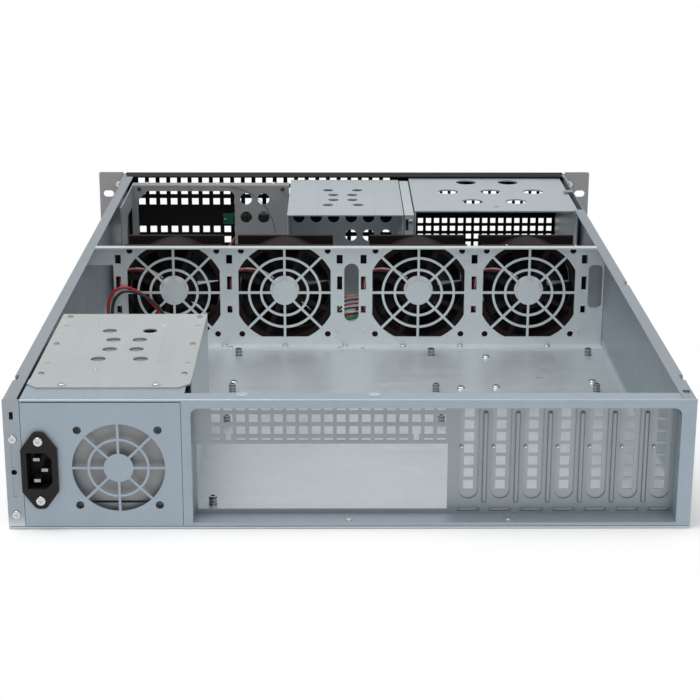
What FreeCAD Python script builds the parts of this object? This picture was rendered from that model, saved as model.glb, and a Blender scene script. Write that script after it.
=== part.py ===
"""Empty 2U rackmount server case without its lid, as the folded sheets and fittings it is made of.

Axes: X to the right as seen from behind the case, Y from the rear face towards the front, Z up.
Every piece is modelled with the rear face at Y = 0 and the underside at Z = 0, and is moved back by
half of the overall depth when it is written, so that the origin lies under the middle of the case.
All sizes are in millimetres.
"""
import FreeCAD
import Part
import math
import os

V = FreeCAD.Vector

# Body of the case
CASE_W = 430.0           # width over the side walls
CASE_H = 86.0            # height of the open tray, without the lid
CASE_L = 680.0           # rear face to the back of the rack ears
SHEET = 1.2              # galvanised sheet of the tray, walls and panels
THIN = 1.0               # thinner sheet of covers and brackets
BEND_R = 1.1             # outer radius of the long folds
GAP = 0.3                # clearance between neighbouring pieces
LIP_W = 8.8              # inward lips along the tops of the side walls
STRIP_W = 10.5           # rear flange of the left side wall
STRIP_SLOT_W = 2.4       # its slot and its pressed grooves
STRIP_SLOT_L = 5.0
STRIP_SLOT_DROP = 8.0    # top of the tray to the slot
STRIP_GROOVES = ((21.5, 35.0), (41.0, 57.0))
STRIP_LOCK_R = 1.8
STRIP_LOCK_Z = 38.0
FLOOR_SLOT_X = 153.4     # small slot in the floor
FLOOR_SLOT_Y = 296.3
FLOOR_SLOT_W = 6.0
FLOOR_SLOT_L = 3.0
LIP_HOLE_SIDE = 4.2      # outer face of the right side wall to the hole in its lip
LIP_HOLE_Y = 15.0
LIP_HOLE_W = 4.4
LIP_HOLE_L = 6.0
NOTCH_L = 10.0           # lid notches in the outer edge of the lips
NOTCH_D = 3.0
NOTCH_REAR_Y = 43.6
NOTCH_MID_Y = 271.5
LIP_CUT_Y0 = 521.0       # the right lip is cut away beside the bay cage, apart from one bridge
LIP_CUT_Y1 = 667.0
LIP_BRIDGE_Y = 599.0
LIP_BRIDGE_L = 8.0

# Rack ears and front handles
EAR_W = 26.3             # from the side wall to the outer edge, so that the ears are 482.6 apart
EAR_T = 2.0
EAR_RISE = 0.6           # top of the ear above the tray
EAR_CORNER_R = 1.5
EAR_LEG_L = 42.0         # leg of the ear along the side wall
EAR_SLOT_EDGE = 8.75     # outer edge of the ear to the middle of its slots, 465.1 across the case
EAR_SLOT_H = 44.45       # spacing of the two slots on one ear
EAR_SLOT_R = 3.3
EAR_SLOT_L = 3.6         # straight part of a slot
HANDLE_PITCH = 64.0
HANDLE_REACH = 36.0
HANDLE_BAR = 8.0         # bar of the handle, square with rounded bends
HANDLE_BEND = 9.0
HANDLE_SIDE = 7.4        # side wall to the middle of the handle

# Front panel
PANEL_SIDE = 2.0         # how far the panel stands past each side wall
PANEL_CORNER_R = 4.0
PANEL_RETURN = 19.0      # depth of the folded top of the front panel
PANEL_FOOT = 6.0
COARSE = 6.5             # square holes on the left
COARSE_PITCH = 10.5
COARSE_COLS = 24
COARSE_FIRST_X = -200.0
COARSE_UPPER_Z = 78.0    # highest row above the plain band
COARSE_UPPER_ROWS = 3
COARSE_LOWER_Z = 28.9    # highest row under the plain band
COARSE_LOWER_ROWS = 2
FINE = 5.1               # square holes on the right
FINE_PITCH = 8.0
FINE_COLS = 17
FINE_FIRST_X = 75.7
FINE_UPPER_Z = 65.0
FINE_UPPER_ROWS = 2
FINE_LOWER_Z = 37.6
FINE_LOWER_ROWS = 4

# Front switches, lights and sockets on their board
BOARD_X0 = -119.6
BOARD_X1 = -62.0
BOARD_Z0 = 36.6
BOARD_Z1 = 47.0
BOARD_T = 1.6
BOARD_SETBACK = 9.0      # from the back of the front panel to the face of the board
POWER_X = -110.5
RESET_X = -102.0
LIGHT_X = -96.5
LIGHT_PITCH = 6.0
USB_X = -77.0
USB_W = 13.2
USB_H = 5.8
BUTTON_Z = 42.0
POWER_R = 3.4
RESET_R = 1.7
BUTTON_FIT = 0.2         # clearance round a button in the panel
BUTTON_PROUD = 1.6
BUTTON_TRAVEL = 1.0
BUTTON_STEM_R = 1.3
POST_R = 1.7
POST_INSET = 2.0         # from the end of the board to the centre of a post
POST_SCREW_R = 1.0
SWITCH_SIDE = 6.0
SWITCH_H = 4.6
LIGHT_R = 1.5

# Rear frame
RECESS_D = 15.0          # rear face to the face of the recessed panel
WIN_POST = 6.2           # post between the power supply plate and the window
WIN_RIM_RIGHT = 9.1
WIN_Z0 = 3.8
WIN_RIM_TOP = 5.8
WIN_R = 5.0
TOP_FLANGE_D = 12.5
PSU_FLANGE_D = 33.0      # deeper flange over the power supply bay, under the tongue of the cover
PSU_W = 99.1             # width of the power supply plate
PSU_DROP = 2.0           # top of the tray to the top edge of the power supply plate
SEAM = 0.4               # open seam round the power supply plate and above the floor

# Recessed panel with the board aperture and the card slots
GRID = 5.6
GRID_PITCH = 7.9
GRID_COLS = 19
GRID_ROWS = 3
GRID_X = -84.5
GRID_Z = 60.3            # lowest full row
KEYHOLE_COLS = (1, 16)   # columns whose lowest square runs down into a keyhole
KEYHOLE_W = 3.4
KEYHOLE_H = 4.2
GRID_THIN_Z = 54.3       # row of thin slots under the grid
GRID_THIN = 1.6
APERTURE_W = 158.75
APERTURE_H = 44.45
APERTURE_X1 = 62.0
APERTURE_Z0 = 6.9
SLOTS = 7
SLOT_PITCH = 20.32
SLOT_FIRST_X = 75.4
SLOT_W = 12.5
SLOT_Z0 = 13.9           # lowest point of the rounded slot
SLIT_W = 14.6
SLIT_Z = 6.8
SLIT_H = 2.6
LEDGE_DROP = 3.8         # top of the tray to the ledge that carries the slot covers
LEDGE_D = 12.0
COVER_W = 18.4
COVER_Z0 = 4.0
COVER_HOLE = 6.2
COVER_PITCH = 8.1
COVER_FIRST_Z = 23.1
COVER_HOLES = 7
TONGUE_W = 10.6          # tongue of a slot cover in its slit
BEAD_R = 1.6             # half-round beads between the slots
BEAD_Z0 = 11.2
BEAD_Z1 = 73.2

# Power supply bay
FAN60_SIDE = 70.5        # outer face of the left side wall to the middle of the fan guard
FAN60_Z = 40.9
FAN60_PITCH = 50.0
FAN60_HOLE_R = 2.6
FAN60_OUTER_R = 29.0
FAN60_RING_R = 19.5
FAN60_HUB_R = 9.3
FAN60_BAR = 1.6
INLET_SIDE = 21.6        # outer face of the left side wall to the middle of the inlet
INLET_Z = 39.9
INLET_FLANGE_T = 3.0
INLET_W = 22.7
INLET_L = 50.5
INLET_PITCH = 39.4
INLET_BODY_W = 20.6
INLET_BODY_L = 28.0
INLET_BODY_D = 22.0
SOCKET_W = 15.6
SOCKET_L = 24.0
SOCKET_D = 16.0
PIN_PITCH = 14.0
PIN_W = 2.0
PIN_L = 4.0
PIN_OUT = 14.0           # length of a pin inside the socket
BOX_SIDE = 11.0          # outer face of the left side wall to the box
BOX_PAST = 4.1           # how far the box reaches past the power supply plate
BOX_Y0 = 37.0            # rear edge of the box
BOX_Y1 = 187.7
TONGUE_Y0 = 21.0         # tongue of the cover, which lies on the rear flange
TONGUE_CUT = 7.0         # cut-off corners of the tongue
BOX_RIM = 9.0            # folded rims at the top of the box walls
BOX_FOOT = 10.0
BOX_LEAD_R = 7.0         # grommet hole in the front wall of the box
BOX_LEAD_X = -128.0
BOX_LEAD_Z = 24.0
COVER_VENT_R = 5.0
VENT_DX = 0.6            # middle of the vent holes from the middle of the cover
VENT_DY = 2.05
VENT_ROWS = ((-31.9, 14.0), (-10.6, 9.0), (10.9, 9.0), (31.9, 14.0))

# Fan wall and fans
WALL_Y = 381.5           # rear face of the fan wall
WALL_RISE = 1.2          # top of the fan wall above the tray
WALL_FLANGE = 6.0
WALL_FOOT = 12.0
FAN_SIDE = 80.0
FAN_DEPTH = 38.0
FAN_Z = 47.4
FAN_X = (-142.8, -51.1, 59.8, 151.5)
FAN_PITCH = 71.5
FAN_HOLE_R = 2.5
FAN_OPEN_R = 42.7
FAN_OPEN_HALF = 38.2
GRILLE_RINGS = ((18.5, 20.5), (28.5, 30.5))
GRILLE_HUB_R = 10.5
GRILLE_BAR = 2.0
BORE_R = 38.2
BARREL_WALL = 1.6
FAN_FLANGE_T = 4.5
STRUT_W = 4.0
STRUT_T = 3.0
MOTOR_R = 14.5
MOTOR_T = 4.0
SEAT_GAP = 0.6           # struts and motor seat lie this far inside the face of the frame
SHAFT_R = 1.5
SHAFT_FIT = 0.05
HUB_R = 17.0
HUB_GAP = 2.0            # between the motor seat and the hub
TIP_GAP = 0.8
BLADES = 7
BLADE_T = 1.4
BLADE_CHORD = 21.0
BLADE_CAMBER = 3.0
BLADE_ANGLE = 38.0
GROOVE_Z = 18.4          # groove for the lead in the flange of the frame
GROOVE_H = 5.6
GROOVE_D = 3.6
SLOT_CX = 4.35           # rounded slot between the middle fans
SLOT_CW = 12.0
SLOT_CH = 50.0
POCKET_SIDE = 2.7        # outer face of the right side wall to the cable pass
POCKET_W = 11.6
POCKET_Z0 = 34.2
POCKET_Z1 = 71.2
POCKET_LEFT_SIDE = 22.7  # outer face of the left side wall to the inner edge of the left cable pass
POCKET_LEFT_Z0 = 20.0
POCKET_R = 6.0
SIDE_SLOTS = ((76.0, 5.0, 7.6), (55.7, 4.2, 11.4), (33.0, 4.2, 6.0))
SIDE_SLOT_DX = -45.6     # row of clip slots to the left of each fan

# Front bulkhead and drive cages
BULK_Y = 620.0
BULK_SIDE = 13.5         # outer face of the left side wall to the bracket
BULK_X1 = -53.0
BULK_RISE = 0.4          # top of the bracket above the tray
BULK_FLANGE = 13.0
BULK_FOOT = 12.0
BULK_RETURN = 95.0
BULK_OPEN_SIDE = 18.0
BULK_OPEN_X1 = -105.0
BULK_OPEN_Z0 = 14.0
BULK_OPEN_RIM = 5.4      # above the opening
BULK_CHAMFER = 9.0
BULK_SIDE_RIM = 3.0      # opening in the folded side of the bracket
BULK_SIDE_L = 54.0
BULK_SIDE_Z = 16.0
BULK_SIDE_H = 52.0
BULK_SIDE_CUT = 11.0
BULK_R = 6.0
HOLE_R = 5.6             # round cable holes of the bulkhead and the cage
HOLE_PITCH_X = 16.7
HOLE_PITCH_Z = 18.0
HOLE_X = -94.2
HOLE_DROP = 12.6         # top of the tray to the upper row of holes
CAGE_HALF = 52.0
CAGE_Y0 = 508.4
CAGE_Y1 = 656.8
CAGE_DROP = 2.0          # top of the tray to the tops of the cages
CAGE_FOOT = 9.0
CAGE_VENT_DX = -2.0      # middle of the vent holes from the middle of the cover
CAGE_VENT_DY = -3.0
CAGE_VENT_SCALE = 0.98   # the pattern is a little smaller than on the power supply bay
CAGE_BACK_HOLE_X = -44.0
CAGE_BACK_Z = 55.8
CAGE_BACK_COLS = 6
CAGE_BACK_LOW_COLS = 3   # holes of the lower row, under the last of the upper ones
DIV_X0 = 52.8
DIV_X1 = 61.1
DIV_Y0 = 507.0
DIV_Y1 = 652.0
DIV_SLOT_L = 10.5
DIV_SLOT_DROP = 3.7      # top of the channel to its slot
BAY_X0 = 62.5
BAY_SIDE = 5.0           # outer face of the right side wall to the bay cage
BAY_Y0 = 523.8
BAY_Y1 = 675.0
BAY_HOLE_R = 9.6
BAY_HOLE_DX = 1.25       # middle of the holes from the middle of the cage
BAY_HOLE_DY = 4.9
BAY_HOLE_PITCH = 40.3
BAY_HOLE_ROW = 41.8
BAY_SLOT_DY = 63.8       # small slots before and behind the holes
BAY_SLOT_W = 5.0
BAY_SLOT_L = 2.5

# Board standoffs on the floor, by column and row
STANDOFF_X = (-88.8, 68.7, 193.1)
STANDOFF_Y = (36.0, 191.0, 263.4)
STANDOFF_R = 2.8
STANDOFF_H = 6.5

# Screws
SCREW_HEAD_R = 3.0
SCREW_HEAD_T = 1.5
SCREW_R = 1.4
SCREW_TIP = 1.0          # how far a short screw reaches behind the sheet
SCREW_DEPTH = 6.0        # how far a long screw reaches into a handle

# Wires: routes as points chosen by hand
WIRE_R = 1.3
FAN_WIRE_R = 1.1
BUNDLE_R = 1.7           # six thin wires of the front panel, taken together
PLUG_FACE_Y = 270.0      # face of the power plug that the two leads enter
PLUG_Z = 6.7
RED_ROUTE = ((-195.3, 45.0, 46.0), (-188.0, 75.0, 39.0), (-172.0, 112.0, 31.0), (-149.0, 150.0, 26.0),
             (-131.5, 184.0, 24.0), (-128.0, 215.0, 18.5), (-131.0, 250.0, 9.0), (-137.0, 285.0, 3.4),
             (-142.5, 320.0, 3.4), (-146.0, 349.0, 8.5), (-149.5, 369.0, 20.0), (-154.5, 376.3, 32.5),
             (-163.5, 377.6, 43.0), (-173.5, 377.8, 50.6), (-183.5, 377.8, 54.0), (-192.5, 377.6, 50.2),
             (-197.2, 376.4, 40.0), (-197.0, 373.5, 27.0), (-195.0, 365.0, 13.5), (-193.0, 349.0, 5.0),
             (-191.5, 325.0, 3.2), (-190.0, 302.0, 4.6), (-189.0, 285.0, PLUG_Z))
BLACK_ROUTE = ((-195.3, 42.0, 33.5), (-187.0, 70.0, 30.0), (-168.0, 108.0, 24.5), (-143.5, 147.0, 21.0),
               (-126.5, 182.0, 20.5), (-123.6, 214.0, 14.5), (-126.5, 250.0, 5.2), (-133.0, 286.0, 3.6),
               (-138.4, 321.0, 3.6), (-142.2, 351.0, 9.5), (-146.3, 368.0, 21.5), (-151.5, 372.8, 33.8),
               (-160.5, 374.0, 43.0), (-171.0, 374.2, 49.2), (-181.5, 374.2, 51.6), (-189.0, 374.0, 47.6),
               (-193.4, 373.0, 38.5), (-193.2, 370.0, 26.5), (-191.0, 361.5, 14.0), (-189.0, 345.5, 5.6),
               (-187.4, 322.0, 3.4), (-186.0, 300.0, 4.8), (-185.0, 284.0, PLUG_Z))
FAN_LEAD = ((-14.5, 2.6, 15.5), (-23.5, 2.2, 18.4), (-33.5, 1.9, 19.4), (-41.8, 2.4, 17.0), (-45.6, 3.6, 9.0),
            (-45.9, 4.0, -2.0), (-45.2, 4.0, -14.0), (-44.6, 4.0, -25.0))
FAN_PLUG = (6.4, 5.4, 13.0)
BUNDLE_ROUTE = ((-8.2, 421.0, 10.5), (-8.0, 407.5, 17.0), (-8.4, 394.6, 26.5), (-1.0, 386.6, 31.5),
                (9.5, 386.6, 33.8), (16.9, 394.4, 32.6), (16.4, 407.5, 27.5), (11.8, 421.0, 19.5),
                (3.0, 435.0, 11.5), (-9.0, 450.0, 5.6), (-24.0, 467.0, 3.3), (-40.0, 487.0, 3.1),
                (-55.0, 509.0, 3.1), (-68.0, 533.0, 3.1), (-80.0, 558.0, 3.6), (-93.0, 580.0, 7.0),
                (-106.0, 598.0, 13.0), (-113.5, 614.0, 19.5), (-113.0, 631.0, 24.5), (-105.0, 645.0, 29.5),
                (-96.0, 657.0, 35.5))
BUNDLE_PLUG = (6.0, 12.0, 17.0)
BUNDLE_PLUG_Y = 434.0
BUNDLE_END_X = -88.3     # where the bundle meets the board
BUNDLE_END_Z = 40.5

# Derived places
HALF = CASE_W / 2
INNER = HALF - SHEET
FACE_Z0 = SHEET + SEAM   # the rear faces stand a seam above the floor
EAR_H = CASE_H + EAR_RISE
EAR_SLOT_X = HALF + EAR_W - EAR_SLOT_EDGE
HANDLE_X = HALF + HANDLE_SIDE
PANEL_HALF = HALF + PANEL_SIDE
PSU_X0 = -HALF + STRIP_W + GAP
PSU_X1 = PSU_X0 + PSU_W
PSU_TOP = CASE_H - PSU_DROP
WIN_X0 = PSU_X1 + WIN_POST
WIN_X1 = HALF - WIN_RIM_RIGHT
WIN_Z1 = CASE_H - WIN_RIM_TOP
LEDGE_Z = CASE_H - LEDGE_DROP
FAN60_X = -HALF + FAN60_SIDE
INLET_X = -HALF + INLET_SIDE
BOX_X0 = -HALF + BOX_SIDE
BOX_X1 = PSU_X1 + BOX_PAST
WALL_TOP = CASE_H + WALL_RISE
BULK_X0 = -HALF + BULK_SIDE
BULK_OPEN_X0 = -HALF + BULK_OPEN_SIDE
BULK_TOP = CASE_H + BULK_RISE
BULK_OPEN_Z1 = BULK_TOP - BULK_OPEN_RIM
HOLE_Z = CASE_H - HOLE_DROP
CAGE_TOP = CASE_H - CAGE_DROP
BAY_X1 = HALF - BAY_SIDE
FRONT_Y = CASE_L + EAR_T
PANEL_FACE = FRONT_Y + SHEET
LIP_END = FRONT_Y - PANEL_RETURN - GAP
INLET_FACE = -INLET_FLANGE_T
REAR_Y = INLET_FACE - SCREW_HEAD_T
REACH_Y = CASE_L + EAR_T + HANDLE_REACH
ORIGIN_Y = (REAR_Y + REACH_Y) / 2
FAN_FACE = WALL_Y + SHEET


def box(x0, x1, y0, y1, z0, z1):
    """Block between two corners."""
    return Part.makeBox(x1 - x0, y1 - y0, z1 - z0, V(x0, y0, z0))


def pin_y(x, z, radius, y0, y1):
    """Round bar along Y."""
    return Part.makeCylinder(radius, y1 - y0, V(x, y0, z), V(0, 1, 0))


def pin_z(x, y, radius, z0, z1):
    """Round bar along Z."""
    return Part.makeCylinder(radius, z1 - z0, V(x, y, z0), V(0, 0, 1))


def fuse(shapes):
    """One solid from pieces of the same sheet."""
    first, rest = shapes[0], list(shapes[1:])
    return first.multiFuse(rest).removeSplitter() if rest else first


def cut(shape, tools):
    """Shape with all the tools taken out at once."""
    return shape.cut(Part.Compound(list(tools)))


def polygon_y(points, y0, y1):
    """Plate with a straight-sided outline in X and Z."""
    corners = [V(x, y0, z) for x, z in points]
    face = Part.Face(Part.makePolygon(corners + corners[:1]))
    return face.extrude(V(0, y1 - y0, 0))


def polygon_x(points, x0, x1):
    """Plate with a straight-sided outline in Y and Z."""
    corners = [V(x0, y, z) for y, z in points]
    face = Part.Face(Part.makePolygon(corners + corners[:1]))
    return face.extrude(V(x1 - x0, 0, 0))


def polygon_z(points, z0, z1):
    """Prism along Z over a polygon given as (x, y) points."""
    wire = Part.makePolygon([V(x, y, z0) for x, y in points + points[:1]])
    return Part.Face(wire).extrude(V(0, 0, z1 - z0))


def rounded(block, radius, direction):
    """Block with the four edges along one direction rounded."""
    edges = [edge for edge in block.Edges if abs(edge.tangentAt(edge.FirstParameter).dot(direction)) > 0.9]
    return block.makeFillet(radius, edges)


def oblong_y(x, z, half_x, half_z, y0, y1):
    """Slot with round ends, cut along Y."""
    radius = min(half_x, half_z)
    return rounded(box(x - half_x, x + half_x, y0, y1, z - half_z, z + half_z), radius * 0.999, V(0, 1, 0))


def squares_y(columns, rows, side, y0, y1):
    """Square holes along Y at every crossing of columns and rows."""
    h = side / 2
    return [box(x - h, x + h, y0, y1, z - h, z + h) for x in columns for z in rows]


def run(first, pitch, count):
    """Evenly spaced places."""
    return [first + pitch * k for k in range(count)]


def through(y0, y1):
    """Span along Y that passes both faces of a sheet."""
    return y0 - 1, y1 + 1


def hole_z(x, y, width, length, z0, z1):
    """Rectangular hole through a level sheet."""
    return box(x - width / 2, x + width / 2, y - length / 2, y + length / 2, z0 - 1, z1 + 1)


def bent(shape, place, along):
    """Sheet with the outer edge of a fold rounded: every edge on the line through a place."""
    line = Part.Line(place, place + along)
    fold = [edge for edge in shape.Edges
            if all((vertex.Point - line.value(line.parameter(vertex.Point))).Length < 0.01
                   for vertex in edge.Vertexes)]
    return shape.makeFillet(BEND_R, fold)


# ---------------------------------------------------------------- tray

def side_wall(side):
    """Side wall with its lip, stepped at the front for the folded top of the front panel."""
    low_top = CASE_H - SHEET - GAP
    start = 0 if side < 0 else SHEET
    outline = [(start, 0), (FRONT_Y, 0), (FRONT_Y, low_top), (LIP_END, low_top),
               (LIP_END, CASE_H), (start, CASE_H)]
    wall = polygon_x(outline, INNER, HALF)
    lip = box(HALF - LIP_W, HALF, start, LIP_END, CASE_H - SHEET, CASE_H)
    wall = bent(fuse([wall, lip]), V(HALF, 0, CASE_H), V(0, 1, 0))
    notches = [NOTCH_REAR_Y] if side < 0 else [NOTCH_REAR_Y, NOTCH_MID_Y]
    tools = [box(HALF - NOTCH_D, HALF + 1, y - NOTCH_L / 2, y + NOTCH_L / 2, CASE_H - NOTCH_D, CASE_H + 1)
             for y in notches]
    if side > 0:
        bridge = LIP_BRIDGE_L / 2
        tools += [box(HALF - LIP_W - 1, INNER, y0, y1, CASE_H - SHEET - 1, CASE_H + 1)
                  for y0, y1 in ((LIP_CUT_Y0, LIP_BRIDGE_Y - bridge), (LIP_BRIDGE_Y + bridge, LIP_CUT_Y1))]
    wall = cut(wall, tools)
    return wall if side > 0 else wall.mirror(V(0, 0, 0), V(1, 0, 0))


def rear_strip():
    """Rear flange of the left side wall, with two pressed grooves and a lock hole."""
    x, half = -HALF + STRIP_W / 2, STRIP_SLOT_W / 2
    strip = box(-HALF, -HALF + STRIP_W, 0, SHEET, FACE_Z0, CASE_H)
    grooves = [box(x - half, x + half, -1, SHEET / 3, z0, z1) for z0, z1 in STRIP_GROOVES]
    lock = pin_y(x, STRIP_LOCK_Z, STRIP_LOCK_R, *through(0, SHEET))
    slot_top = CASE_H - STRIP_SLOT_DROP
    slot = box(x - half, x + half, *through(0, SHEET), slot_top - STRIP_SLOT_L, slot_top)
    return cut(strip, grooves + [lock, slot])


def chassis_tray():
    """Floor and side walls folded from one sheet."""
    floor = box(-HALF, HALF, 0, FRONT_Y, 0, SHEET)
    slot = hole_z(FLOOR_SLOT_X, FLOOR_SLOT_Y, FLOOR_SLOT_W, FLOOR_SLOT_L, 0, SHEET)
    lip_hole = hole_z(HALF - LIP_HOLE_SIDE, LIP_HOLE_Y, LIP_HOLE_W, LIP_HOLE_L, CASE_H - SHEET, CASE_H)
    folded = fuse([floor, side_wall(-1), side_wall(1), rear_strip()])
    return cut(folded, [slot, lip_hole])


# ---------------------------------------------------------------- rear

def window(y0, y1):
    """Rear window: square below, rounded above."""
    opening = box(WIN_X0, WIN_X1, y0, y1, WIN_Z0, WIN_Z1)
    top = [edge for edge in opening.Edges
           if edge.BoundBox.ZMin > WIN_Z1 - 0.1 and edge.BoundBox.YLength > 1 and edge.BoundBox.XLength < 1]
    return opening.makeFillet(WIN_R, top)


def rear_frame():
    """Frame round the window, with the top flanges and the walls of the recess."""
    x0 = PSU_X0
    post = PSU_X1 + SEAM
    face = polygon_y([(x0, CASE_H), (HALF, CASE_H), (HALF, FACE_Z0), (post, FACE_Z0), (post, PSU_TOP + SEAM),
                      (x0, PSU_TOP + SEAM)], 0, SHEET)
    face = face.cut(window(*through(0, SHEET)))
    lip_edge = HALF - LIP_W - GAP
    flange = box(post, lip_edge, 0, TOP_FLANGE_D, CASE_H - SHEET, CASE_H)
    psu_flange = box(x0, post + SHEET, 0, PSU_FLANGE_D, CASE_H - SHEET, CASE_H)
    side_top = WIN_Z1 - WIN_R
    left = box(WIN_X0 - SHEET, WIN_X0, 0, RECESS_D, WIN_Z0 - SHEET, side_top)
    right = box(WIN_X1, WIN_X1 + SHEET, 0, RECESS_D, WIN_Z0 - SHEET, side_top)
    sill = box(WIN_X0 - SHEET, WIN_X1 + SHEET, 0, RECESS_D, WIN_Z0 - SHEET, WIN_Z0)
    return bent(fuse([face, flange, psu_flange, left, right, sill]), V(0, 0, CASE_H), V(1, 0, 0))


def slot_centres():
    """Middles of the card slots."""
    return run(SLOT_FIRST_X, SLOT_PITCH, SLOTS)


def card_slot(x, y0, y1):
    """Card slot with a rounded bottom, open up to the ledge."""
    radius = SLOT_W / 2
    shaft = box(x - radius, x + radius, y0, y1, SLOT_Z0 + radius, LEDGE_Z - SHEET - 1)
    return shaft.fuse(pin_y(x, SLOT_Z0 + radius, radius, y0, y1))


def bead(x, face):
    """Half-round bead pressed out of the panel, with round ends."""
    rod = pin_z(x, face, BEAD_R, BEAD_Z0 + BEAD_R, BEAD_Z1 - BEAD_R)
    ends = [Part.makeSphere(BEAD_R, V(x, face, z)) for z in (BEAD_Z0 + BEAD_R, BEAD_Z1 - BEAD_R)]
    front = box(x - BEAD_R - 1, x + BEAD_R + 1, face - BEAD_R - 1, face + 0.1, BEAD_Z0 - 1, BEAD_Z1 + 1)
    return fuse([rod] + ends).common(front)


def io_slot_panel():
    """Recessed panel with the vent grid, the board aperture, the card slots and their ledge."""
    y0, y1 = RECESS_D, RECESS_D + SHEET
    x0, x1 = WIN_X0 - SHEET, WIN_X1 + SHEET
    plate = box(x0, x1, y0, y1, SHEET, LEDGE_Z)
    ledge = box(SLOT_FIRST_X - COVER_W / 2 - 2, x1, y0 - LEDGE_D, y1, LEDGE_Z - SHEET, LEDGE_Z)
    foot = box(x0, x1, y0, y1 + 10, SHEET, 2 * SHEET)
    beads = [bead(x, y0) for x in run(SLOT_FIRST_X + SLOT_PITCH / 2, SLOT_PITCH, SLOTS - 1)]
    sheet = fuse([plate, ledge, foot] + beads)
    span = through(y0 - BEAD_R, y1)
    columns = run(GRID_X, GRID_PITCH, GRID_COLS)
    tools = squares_y(columns, run(GRID_Z, GRID_PITCH, GRID_ROWS), GRID, *span)
    thin = [x for k, x in enumerate(columns) if k not in KEYHOLE_COLS]
    tools += [box(x - GRID / 2, x + GRID / 2, *span, GRID_THIN_Z - GRID_THIN / 2, GRID_THIN_Z + GRID_THIN / 2)
              for x in thin]
    tools += [box(columns[k] - KEYHOLE_W / 2, columns[k] + KEYHOLE_W / 2, *span,
                  GRID_Z - GRID / 2 - KEYHOLE_H, GRID_Z) for k in KEYHOLE_COLS]
    tools.append(box(APERTURE_X1 - APERTURE_W, APERTURE_X1, *span, APERTURE_Z0, APERTURE_Z0 + APERTURE_H))
    for x in slot_centres():
        tools.append(card_slot(x, *span))
        tools.append(box(x - SLIT_W / 2, x + SLIT_W / 2, *span, SLIT_Z - SLIT_H / 2, SLIT_Z + SLIT_H / 2))
    return cut(sheet, tools)


def slot_cover(x):
    """Vented blank that closes one card slot from inside, with a tab on the ledge and a tongue in the slit."""
    y0 = RECESS_D + SHEET
    plate = box(x - COVER_W / 2, x + COVER_W / 2, y0, y0 + THIN, COVER_Z0, LEDGE_Z + THIN)
    tab = box(x - COVER_W / 2, x + COVER_W / 2, y0 - LEDGE_D + 1, y0 + THIN, LEDGE_Z, LEDGE_Z + THIN)
    holes = squares_y([x], run(COVER_FIRST_Z, COVER_PITCH, COVER_HOLES), COVER_HOLE, *through(y0, y0 + THIN))
    tongue = box(x - TONGUE_W / 2, x + TONGUE_W / 2, RECESS_D + GAP, y0,
                 SLIT_Z - SLIT_H / 2 + GAP, SLIT_Z + SLIT_H / 2 - GAP)
    return cut(fuse([plate, tab, tongue]), holes)


# ---------------------------------------------------------------- grilles

def grille_windows(cx, cz, rings, limit, spoke, y0, y1):
    """Openings of a pressed fan guard: the bands between rings, parted by eight spokes."""
    tools = []
    for inner, outer in rings:
        band = pin_y(cx, cz, outer, y0, y1).cut(pin_y(cx, cz, inner, y0 - 1, y1 + 1))
        tools.append(band if limit is None else band.common(limit))
    openings = Part.Compound(tools)
    reach = rings[-1][1] + 1
    spokes = []
    for k in range(4):
        bar = box(cx - reach, cx + reach, y0 - 1, y1 + 1, cz - spoke / 2, cz + spoke / 2)
        bar.rotate(V(cx, 0, cz), V(0, 1, 0), 45 * k)
        spokes.append(bar)
    return openings.cut(Part.Compound(spokes))


# ---------------------------------------------------------------- power supply bay

def psu_rear_plate():
    """Plate behind the power supply, with the inlet opening and a pressed 60 mm fan guard."""
    x0 = PSU_X0
    plate = box(x0, PSU_X1, 0, SHEET, FACE_Z0, PSU_TOP)
    span = through(0, SHEET)
    rings = [(FAN60_HUB_R, FAN60_RING_R - FAN60_BAR), (FAN60_RING_R, FAN60_OUTER_R)]
    tools = [grille_windows(FAN60_X, FAN60_Z, rings, None, FAN60_BAR, *span)]
    h = FAN60_PITCH / 2
    tools += [pin_y(FAN60_X + dx, FAN60_Z + dz, FAN60_HOLE_R, *span) for dx in (-h, h) for dz in (-h, h)]
    w, l = INLET_BODY_W / 2 + GAP, INLET_BODY_L / 2 + GAP
    tools.append(box(max(INLET_X - w, x0 + 0.6), INLET_X + w, *span, INLET_Z - l, INLET_Z + l))
    tools += [pin_y(INLET_X, INLET_Z + d * INLET_PITCH / 2, SCREW_R, *span) for d in (-1, 1)]
    return cut(plate, tools)


def inlet_outline(half_w, half_l, flat):
    """Flange outline: straight sides that draw in to narrow ends."""
    tip = half_w * 0.28
    return [(half_w, -flat), (half_w, flat), (tip, half_l), (-tip, half_l),
            (-half_w, flat), (-half_w, -flat), (-tip, -half_l), (tip, -half_l)]


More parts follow.
